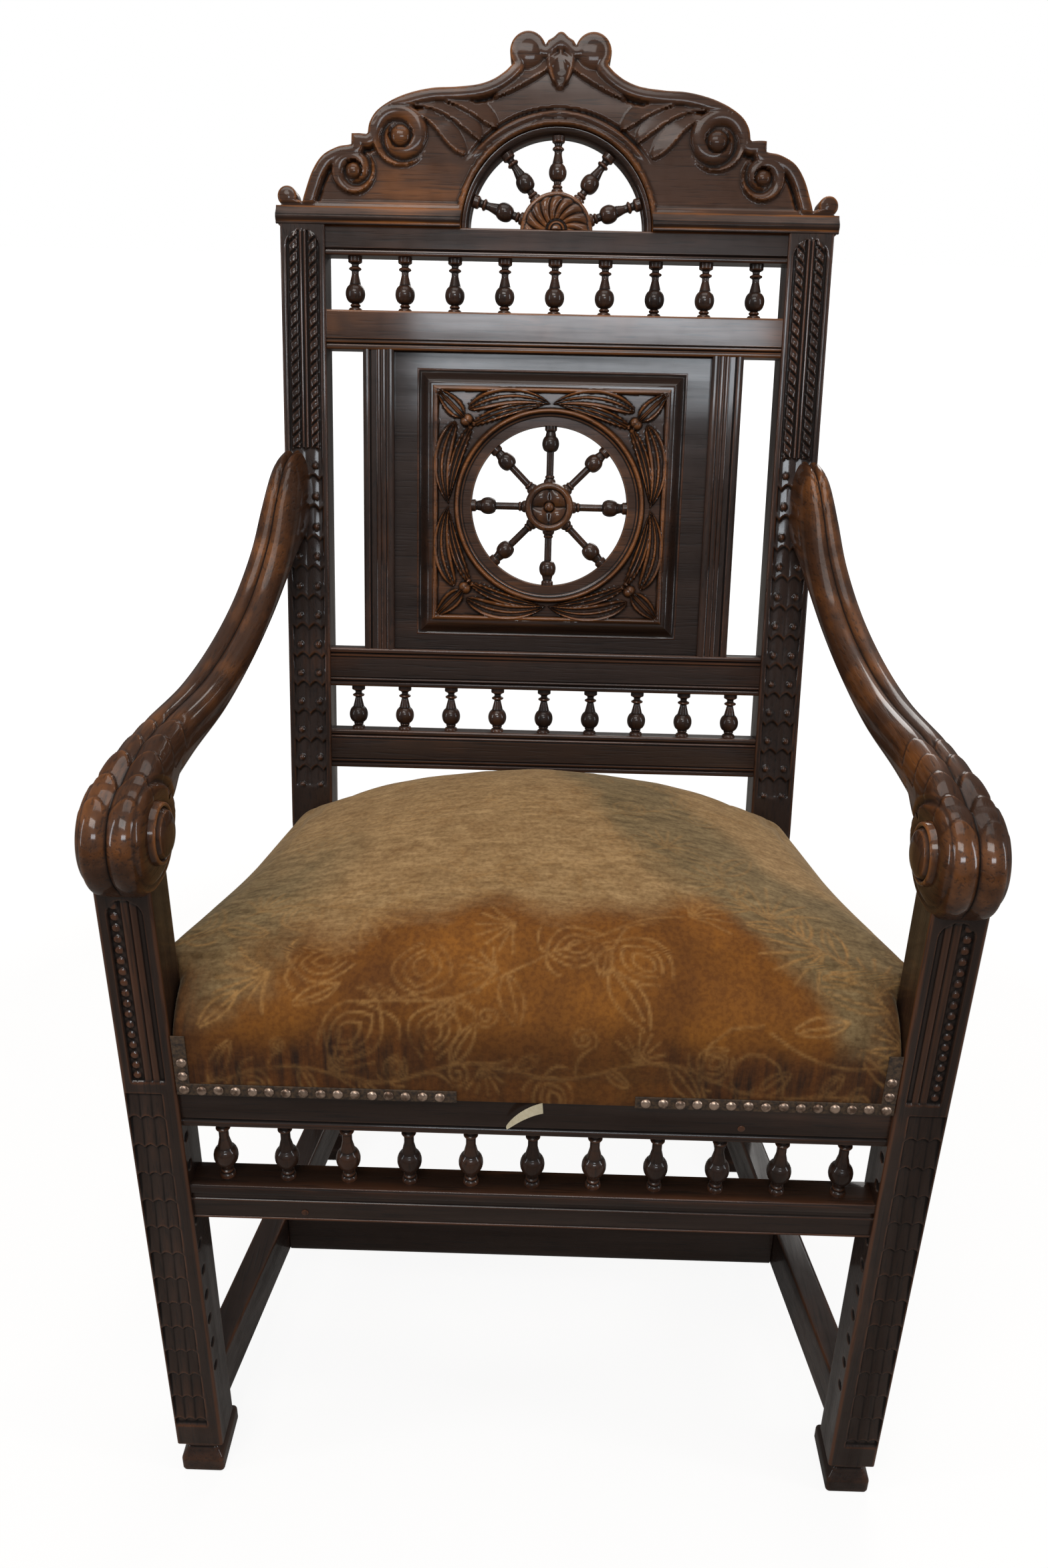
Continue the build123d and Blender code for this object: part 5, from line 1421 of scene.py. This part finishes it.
def grown(stem, step, motifs, size):
    """A stem, with motifs in turn on its two sides every step mm."""
    curve = curve_through(stem, 4)
    length = np.concatenate([[0], np.cumsum(np.hypot(*np.diff(curve, axis=0).T))])
    curves = [curve]
    for number, place in enumerate(np.arange(step * 0.4, length[-1], step)):
        here, next_to = (np.array([np.interp(at, length, curve[:, axis]) for axis in (0, 1)])
                         for at in (place, place + 3))
        heading = math.degrees(math.atan2(*(next_to - here)[::-1]))
        lean = (48 + 9 * math.sin(2.4 * number)) * (-1) ** number
        scale = size * (0.85 + 0.25 * math.sin(1.7 * number + 1))
        curves += laid(motifs[number % len(motifs)], *here, heading + lean, scale)
    return curves


# %% Where the motifs and the stems lie
MAIN_STEM = [(-132, -13), (-101, -14), (-61, -11), (-22, 12), (4, 30), (50, 55), (84, 74),
             (118, 82)]
# motif, x, v, angle in degrees, size
PLACED = ((BUD, -188, 26, 4, 52), (BUD, -92, -8, 80, 56), (BUD, -118, -22, 215, 58),
          (BUD, -74, -18, 262, 48), (BUD, 8, 34, 18, 50), (BUD, 62, 50, -48, 58),
          (LEAF, 55, 20, -62, 66), (LEAF, 54, 44, -100, 34), (LEAF, -104, -14, 150, 34),
          (LEAF, -24, 12, -78, 52), (LEAF, -62, -12, 245, 30), (FROND, -30, 14, 168, 30),
          (FROND, -18, 62, 200, 34), (FROND, -205, 20, 200, 46), (FROND, 120, 82, 40, 40),
          (CURL, -60, -12, 300, 34), (LEAF, -150, 4, 205, 40), (LEAF, -228, 4, 225, 42),
          (CURL, 283, -30, 172, 150), (LEAF, 236, -8, 200, 46))
# points of the stem, step from motif to motif, the motifs in turn, their size
STEMS = (([(292, -62), (276, -8), (246, 38), (202, 78), (160, 118), (150, 170)],
          17, (LEAF, LEAF, FROND), 52),
         ([(-262, -70), (-190, -62), (-120, -78), (-50, -66), (20, -76), (96, -60), (170, -76),
           (250, -66)], 24, (LEAF, BUD, CURL, LEAF, FROND), 36),
         ([(-290, 60), (-210, 96), (-120, 84), (-40, 128), (40, 150), (120, 190)],
          30, (BUD, LEAF, FROND), 50),
         ([(-240, 260), (-150, 225), (-40, 262), (60, 240), (150, 290), (230, 280)],
          32, (LEAF, BUD, CURL), 54),
         ([(-180, 380), (-90, 345), (10, 372), (110, 350), (190, 385)], 32, (BUD, LEAF, FROND), 50))


def figure_curves():
    """Every line of the figure, in mm on the unrolled cover."""
    curves = [curve_through(MAIN_STEM, 4)]
    for placed in PLACED:
        curves += laid(*placed)
    for stem in STEMS:
        curves += grown(*stem)
    return curves


print("lines in the figure:", len(figure_curves()))


# %% Paint the figure and the wear on the points of the cover
LINE_HALF = 2.2


def figured(x, v, curves):
    """1 on the lines of the figure and 0 away from them."""
    lines = np.zeros(len(x))
    for curve in curves:
        low, high = curve.min(axis=0) - LINE_HALF, curve.max(axis=0) + LINE_HALF
        near = np.flatnonzero((x > low[0]) & (x < high[0]) & (v > low[1]) & (v < high[1]))
        if len(near):
            away = np.abs(along(x[near], v[near], curve[::2])[1])
            lines[near] = np.maximum(lines[near], ease(LINE_HALF - away, 0, LINE_HALF))
    return lines


# where the cloth has gone green, from the back of the seat to its right front corner
GREEN_PATH = np.array([(80, 350), (120, 220), (165, 140), (225, 85), (262, 30), (285, -30)])


def paint_cover(mesh):
    """Stores the figure, how pale and green the cloth has become, and how much darker it is
    down the front roll and at the front corners, on its points.
    """
    x, y, z = read_points(mesh).T
    height, _ = crown(x, np.clip(y, 0, SEAT_REAR))
    fallen = np.maximum(height - z, 0)
    front_fall = fallen * ease(70 - y, 0, 40)
    side_fall = fallen * (1 - ease(70 - y, 0, 40))
    across, v = x + np.sign(x) * 0.8 * side_fall, y - 0.8 * front_fall
    lines = figured(across, v, figure_curves())
    wave = 9 * np.sin(x / 31) + 6 * np.sin(x / 13 + 1) + 5 * np.sin(v / 17)
    pale = ease(v + wave - 0.10 * x, 52, 112)
    _, away = along(x, v, GREEN_PATH)
    green = ease(72 - np.abs(away) + 0.7 * wave, 0, 46)
    olive = ease(-x + 0.3 * v, 165, 262) * ease(v, -45, 10) * ease(300 - v, 0, 190)
    # darker down the front roll, more so towards the sides, and at both front corners
    dark = ease(-v + 0.8 * wave, 20, 58) * (0.42 + 0.58 * ease(np.abs(x - 4), 40, 150))
    dark = np.maximum(dark, 0.8 * ease(np.abs(x), 236, 276) * ease(70 - v, 0, 60))
    store(mesh, "figure", lines)
    store(mesh, "pale", pale)
    store(mesh, "green", np.maximum(green, olive * 0.9))
    store(mesh, "dark", dark)


# %% The velvet
def velvet():
    """Worn gold velvet: streaks run across the sitting place and down the front."""
    cloth = Finish("figured_velvet")
    pale, green, dark = cloth.mark("pale"), cloth.mark("green"), cloth.mark("dark")
    figure = cloth.mark("figure")
    across = cloth.noise(130, (0.3, 1, 0.8), detail=8, roughness=0.72)
    downward = cloth.noise(110, (1, 0.6, 0.09), detail=5, roughness=0.64, shift=4.0)
    patches = cloth.noise(11, detail=4, shift=9.0)
    blotches = cloth.noise(42, detail=6, roughness=0.65, shift=6.0)
    fine = cloth.noise(260, detail=3, shift=2.0)
    gold = cloth.mix(patches.between(0.35, 0.68), (0.112, 0.037, 0.0045), (0.255, 0.092, 0.011))
    gold = cloth.mix(downward.between(0.3, 0.7) * 0.5, gold, (0.10, 0.034, 0.007))
    beige = cloth.mix(across.between(0.30, 0.66), (0.180, 0.098, 0.035), (0.375, 0.232, 0.102))
    beige = cloth.mix(blotches.between(0.5, 0.68) * 0.6, beige, (0.185, 0.092, 0.029))
    sat_on = (pale * 1.3 + across * 0.6 + blotches * 0.5 - 0.68).between(0, 1)
    tint = cloth.mix(sat_on, gold, beige)
    grey = cloth.mix(across.between(0.34, 0.68), (0.085, 0.056, 0.023), (0.240, 0.165, 0.077))
    faded = (green * 1.2 + blotches * 1.2 - 0.66).between(0, 1) * green.between(0, 0.3) * 0.9
    tint = cloth.mix(faded, tint, grey)
    # the colours of the darker front roll and front corners
    darker_front = cloth.mix(downward.between(0.36, 0.62), (0.022, 0.009, 0.005), (0.105, 0.034, 0.007))
    tint = cloth.mix(dark * 0.97, tint, darker_front)
    lines = figure * (1 - pale * 0.62 + green * 0.3) * (1 - dark * 0.5)
    lines = lines * blotches.between(0.30, 0.58)
    tint = cloth.mix(lines * 0.62, tint, (0.350, 0.180, 0.056))
    tint = cloth.mix(fine.between(0.58, 0.38) * 0.5, tint, (0.50, 0.42, 0.36), "MULTIPLY")
    height = fine * 0.4 + across * 0.5 + figure * 0.5
    cloth.set(Base_Color=tint, Roughness=0.86, Normal=cloth.bump(height, 0.0012, 0.4))
    cloth.shader.inputs["Specular IOR Level"].default_value = 0.2
    cloth.shader.inputs["Sheen Weight"].default_value = 0.12
    cloth.shader.inputs["Sheen Roughness"].default_value = 0.4
    cloth.shader.inputs["Sheen Tint"].default_value = (1.0, 0.82, 0.55, 1)
    return cloth.material


# %% Make the seat
def free_play(points):
    """How far each point of the cover may move, in mm: not at all by the rails and the legs,
    a little above the braid and most on the crown."""
    x, y, z = points.T
    beside_leg = (y < LEG_HIGH[1] + 9) & (np.abs(x) > LEG_IN - 16)
    held = (z < SEAT_RAIL_HIGH[2] + 2) | beside_leg
    return np.where(held, 0.0, 1.0 + 7.0 * ease(z, BRAID_LOW + 13, BRAID_LOW + 70))


seat = make_piece("stuffed_velvet_seat", seat_skin(), velvet(), ["seat_cushion"], "gold_velvet",
                  sharp=80)
puff(seat, free_play(read_points(seat.data)))
refine(seat)
paint_cover(seat.data)
print("seat faces:", len(seat.data.polygons))

# %% [markdown]
# ## Braid, nails, webs and pegs
#
# A narrow braid covers the raw edge of the velvet, and a row of brass nails holds it. In
# the middle both are lost, and a strip of the pale lining hangs out. The webs below are
# plain jute, so their solid stays and takes a woven finish. Two oak pegs show where a
# joint was pinned through.

# %% Braid
GAP_LEFT, GAP_RIGHT = -60.0, 78.0       # where the braid is torn off
BRAID_STEP, PLAIT = 1.1, 3.4            # spacing of its points, and pitch of its plaits


def braid(start, end, place):
    """A strip of braid between two places, plaited from ridges that slant both ways."""
    section, normals = rounded_loop((0, -0.9), (10.8, 0.1), 0.4, (2, 2, 16, 2))
    t = np.linspace(start, end, max(8, round(abs(end - start) / BRAID_STEP)))[:, None]
    hand = np.where(section[:, 0] > 5.4, 1, -1)
    slant = np.abs((t + hand * section[:, 0]) % PLAIT - PLAIT / 2) / (PLAIT / 2)
    out = section[:, 1] + np.clip(normals[:, 1], 0, 1) ** 2 * (0.35 * np.sqrt(slant) - 0.15)
    return tube(place(t, section[:, 0], out))


def braid_row(t, up, out):
    """Places of the braid along the front: t runs across the chair."""
    return np.stack(np.broadcast_arrays(t, -out, BRAID_LOW + up), axis=-1)


def braid_end(t, up, out):
    """Places of the braid beside a leg: t runs up."""
    return np.stack(np.broadcast_arrays(LEG_IN - 11.2 + up, -out, t), axis=-1)


corner = LEG_IN - 0.5
ends = braid(BRAID_LOW + 11.2, corners("seat_braid")[1][2] - 0.5, braid_end)
strips = [braid(-corner, GAP_LEFT, braid_row), braid(GAP_RIGHT, corner, braid_row),
          ends, mirrored(ends)]
old_braid = Finish("worn_braid")
threads = old_braid.noise(300, detail=3).between(0.35, 0.65)
old_braid.set(Base_Color=old_braid.mix(threads, (0.018, 0.010, 0.006), (0.075, 0.042, 0.020)),
              Roughness=0.8)
make_piece("plaited_braid", strips, old_braid.material, ["seat_braid"], "worn_braid", sharp=60)

# %% Nails
NAIL_PITCH, NAIL_RADIUS, NAIL_EDGE = 13.0, 4.3, 6.6
NAIL_Z = BRAID_LOW + 5.5


def nail(x, z, number):
    """A domed head with a thin brim, sitting a little askew as hand-driven nails do."""
    share = np.linspace(0, 1, 7)
    radius = NAIL_RADIUS * np.array([1.0, 1.0, 0.9, 0.72, 0.48, 0.22, 0.02])
    tall = np.array([0.0, 0.45, 1.15, 1.85, 2.3, 2.5, 2.55])
    aside, lift = 0.35 * math.sin(7.1 * number), 0.35 * math.sin(3.7 * number + 1)
    return turned(radius, tall, lambda side, up, out: np.stack(
        [x + aside + side, -0.6 - out, z + lift + up], axis=-1), 16)


nail_half = LEG_IN - NAIL_EDGE
row = np.linspace(-nail_half, nail_half, int(2 * nail_half / NAIL_PITCH) + 1)
heads = [(x, NAIL_Z) for x in row if not GAP_LEFT - 4.6 < x < GAP_RIGHT + 4.6]
heads += [(side * nail_half, NAIL_Z + NAIL_PITCH * step) for side in (-1, 1) for step in (1, 2)]
brass = Finish("antique_brass")
tarnish = brass.noise(160, detail=4)
brass.set(Base_Color=brass.mix(tarnish.between(0.4, 0.62), (0.46, 0.33, 0.25), (0.13, 0.08, 0.055)),
          Roughness=0.26 + tarnish * 0.2, Metallic=0.85)
make_piece("domed_nails", [nail(x, z, number) for number, (x, z) in enumerate(heads)],
           brass.material, ["seat_nails"], "antique_brass")

# %% The strip of lining that hangs out
def torn_strip():
    """A thin ribbon: its middle line drops to a point, its width tapers, and it curls out."""
    path = bow((7, 441), (-10, 440), (-21, 422), 26)
    share = np.linspace(0, 1, 26)[:, None]
    step = np.gradient(path, axis=0)
    across = np.column_stack([-step[:, 1], step[:, 0]]) / np.hypot(*step.T)[:, None]
    width = 4.6 * (1 - share) ** 0.6 + 0.4
    side = np.array([-1, -0.5, 0, 0.5, 1, 1, 0.5, 0, -0.5, -1])[None]
    depth = np.array([0, 0, 0, 0, 0, 0.4, 0.4, 0.4, 0.4, 0.4])[None]
    x, z = (path[:, axis:axis + 1] + across[:, axis:axis + 1] * side * width for axis in (0, 1))
    y = 0.3 - 3.4 * np.sin(np.pi * share * 0.8) - 0.8 * side * share - depth
    return tube(np.stack([x, y, z], axis=-1))


lining = Finish("pale_lining")
threads = lining.noise(400, detail=3)
lining.set(Base_Color=lining.mix(threads, (0.42, 0.34, 0.20), (0.62, 0.55, 0.40)), Roughness=0.9)
strip = make_piece("torn_lining", [torn_strip()], lining.material, [], "worn_braid", sharp=60)

# %% Webs and pegs
jute = Finish("jute_webbing")
THREADS = 2200.0                        # radians of the weave per metre
phases = [jute.node("ShaderNodeSeparateXYZ", {}, {"Vector": jute.place}, axis) * THREADS
          for axis in (0, 1)]
warp, weft = (phase.maths("SINE", phase) for phase in phases)
weave = warp * weft * 0.5 + 0.5
jute.set(Base_Color=jute.mix(weave, (0.12, 0.075, 0.035), (0.30, 0.21, 0.115)), Roughness=0.95,
         Normal=jute.bump(weave, 0.0006, 0.5))
dress_solid("seat_webbing", jute.material)


def peg(x, y, z):
    """A low domed head in the face of a rail."""
    radius, tall = np.array([2.9, 2.9, 2.5, 1.6, 0.02]), np.array([-0.3, 0.3, 0.6, 0.75, 0.8])
    return turned(radius, tall, lambda side, up, out: np.stack(
        [x + side, y - out, z + up], axis=-1), 20)


peg_low, peg_high = corners("rail_pegs")
pegs = [peg(peg_high[0] - 3, peg_high[1], peg_high[2] - 3),
        peg(peg_low[0] + 3, peg_high[1], peg_low[2] + 3)]
make_piece("oak_pegs", pegs, dark_oak["z"], ["rail_pegs"], "dark_oak")

# %% [markdown]
# ## Camera, light and floor
#
# The chair is seen by a standing person about a metre away, so the lens is wide and the
# legs draw together. The view is set by three turns from level: down, aside and a small
# roll. A dim sky and large softboxes light everything softly. A cool one behind the
# viewer, like a window, is what the varnish of the leaning back mirrors, and two narrow
# ones draw long lights down the carving.

# %% Camera
LENS, EYE = 28.0, (-0.00124, -1.04745, 1.07300)
DOWN, ASIDE, ROLL = math.radians(25.325), math.radians(-0.865), math.radians(1.117)


def set_camera():
    """Camera axes are right, up and back; roll turns the first two about the line of sight."""
    level_part = math.cos(DOWN)
    ahead = Vector((math.sin(ASIDE) * level_part, math.cos(ASIDE) * level_part, -math.sin(DOWN)))
    right = Vector((math.cos(ASIDE), -math.sin(ASIDE), 0))
    above = right.cross(ahead)
    right, above = (math.cos(ROLL) * right + math.sin(ROLL) * above,
                    math.cos(ROLL) * above - math.sin(ROLL) * right)
    camera = bpy.data.objects.new("camera", bpy.data.cameras.new("camera"))
    bpy.context.scene.collection.objects.link(camera)
    turn = Matrix((right, above, -ahead)).transposed()
    camera.matrix_world = Matrix.Translation(EYE) @ turn.to_4x4()
    camera.data.lens, camera.data.sensor_width = LENS, 36.0
    camera.data.clip_start = 0.05
    bpy.context.scene.camera = camera
    return camera


print("camera at", [round(value, 3) for value in set_camera().location])


# %% Softboxes
def softbox(name, place, aim, size, share, colour):
    """An area light aimed at a point. share is how bright a white sheet that faced it there
    would look, with 1 for white."""
    away = Vector(aim) - Vector(place)
    lamp = bpy.data.lights.new(name, "AREA")
    lamp.shape, lamp.size, lamp.size_y = "RECTANGLE", *size
    lamp.energy, lamp.color = share * (math.pi * away.length) ** 2, colour
    light = bpy.data.objects.new(name, lamp)
    bpy.context.scene.collection.objects.link(light)
    turn = away.to_track_quat("-Z", "Y").to_matrix()
    light.matrix_world = Matrix.Translation(place) @ turn.to_4x4()


COOL, NEUTRAL = (0.86, 0.93, 1.0), (1.0, 0.98, 0.95)
softbox("window", (0.14, -2.85, 2.03), (0, 0.1, 0.85), (1.25, 0.42), 0.22, COOL)
softbox("fill_softbox", (-0.5, -2.0, 2.95), (0, 0.1, 0.7), (1.8, 0.8), 0.42, NEUTRAL)
softbox("left_softbox", (-2.3, -0.9, 1.3), (0, 0, 0.7), (0.3, 1.5), 0.20, COOL)
softbox("right_softbox", (2.3, -0.8, 1.3), (0, 0, 0.7), (0.3, 1.5), 0.24, COOL)
softbox("rear_softbox", (0.7, 2.5, 1.9), (0, 0, 0.7), (1.2, 1.2), 0.30, NEUTRAL)
softbox("top_softbox", (0.0, 0.1, 2.9), (0, 0, 0.6), (1.8, 1.8), 0.48, NEUTRAL)


# %% Sky and floor
def set_sky():
    """A white background for the camera, and a dimmer sky for light and reflections."""
    world = bpy.data.worlds.new("sky")
    world.use_nodes = True
    bpy.context.scene.world = world
    nodes, links = world.node_tree.nodes, world.node_tree.links
    path, choice = nodes.new("ShaderNodeLightPath"), nodes.new("ShaderNodeMapRange")
    choice.inputs["To Min"].default_value, choice.inputs["To Max"].default_value = 0.20, 1.0
    links.new(path.outputs["Is Camera Ray"], choice.inputs["Value"])
    links.new(choice.outputs[0], nodes["Background"].inputs["Strength"])
    nodes["Background"].inputs["Color"].default_value = (1, 1, 1, 1)


def set_floor():
    """A pale floor. The camera sees it mostly as the white of the sky, more so further away,
    with a faint shadow by the chair."""
    mesh = bpy.data.meshes.new("floor")
    reach = 30
    around = [(-reach, -reach, 0), (reach, -reach, 0), (reach, reach, 0), (-reach, reach, 0)]
    mesh.from_pydata(around, [], [(0, 1, 2, 3)])
    floor = bpy.data.objects.new("floor", mesh)
    bpy.context.scene.collection.objects.link(floor)
    paint = Finish("floor")
    paint.shader.inputs["Base Color"].default_value = (0.30, 0.28, 0.26, 1)
    paint.shader.inputs["Roughness"].default_value = 0.9
    glow = paint.node("ShaderNodeEmission", {}, {"Color": (1.0, 1.0, 1.0), "Strength": 1.36})
    path = paint.node("ShaderNodeLightPath", {}, {}, "Is Camera Ray")
    away = paint.node("ShaderNodeVectorMath", {"operation": "LENGTH"}, {0: paint.place}, 1)
    share = path * (away.between(0.9, 3.0) * 0.29 + 0.66)
    mixed = paint.node("ShaderNodeMixShader", {}, {0: share})
    paint.tree.links.new(paint.shader.outputs[0], mixed.socket.node.inputs[1])
    paint.tree.links.new(glow.socket, mixed.socket.node.inputs[2])
    paint.tree.links.new(mixed.socket, paint.tree.nodes["Material Output"].inputs["Surface"])
    mesh.materials.append(paint.material)


set_sky()
set_floor()
bpy.context.scene.view_settings.view_transform = "Standard"
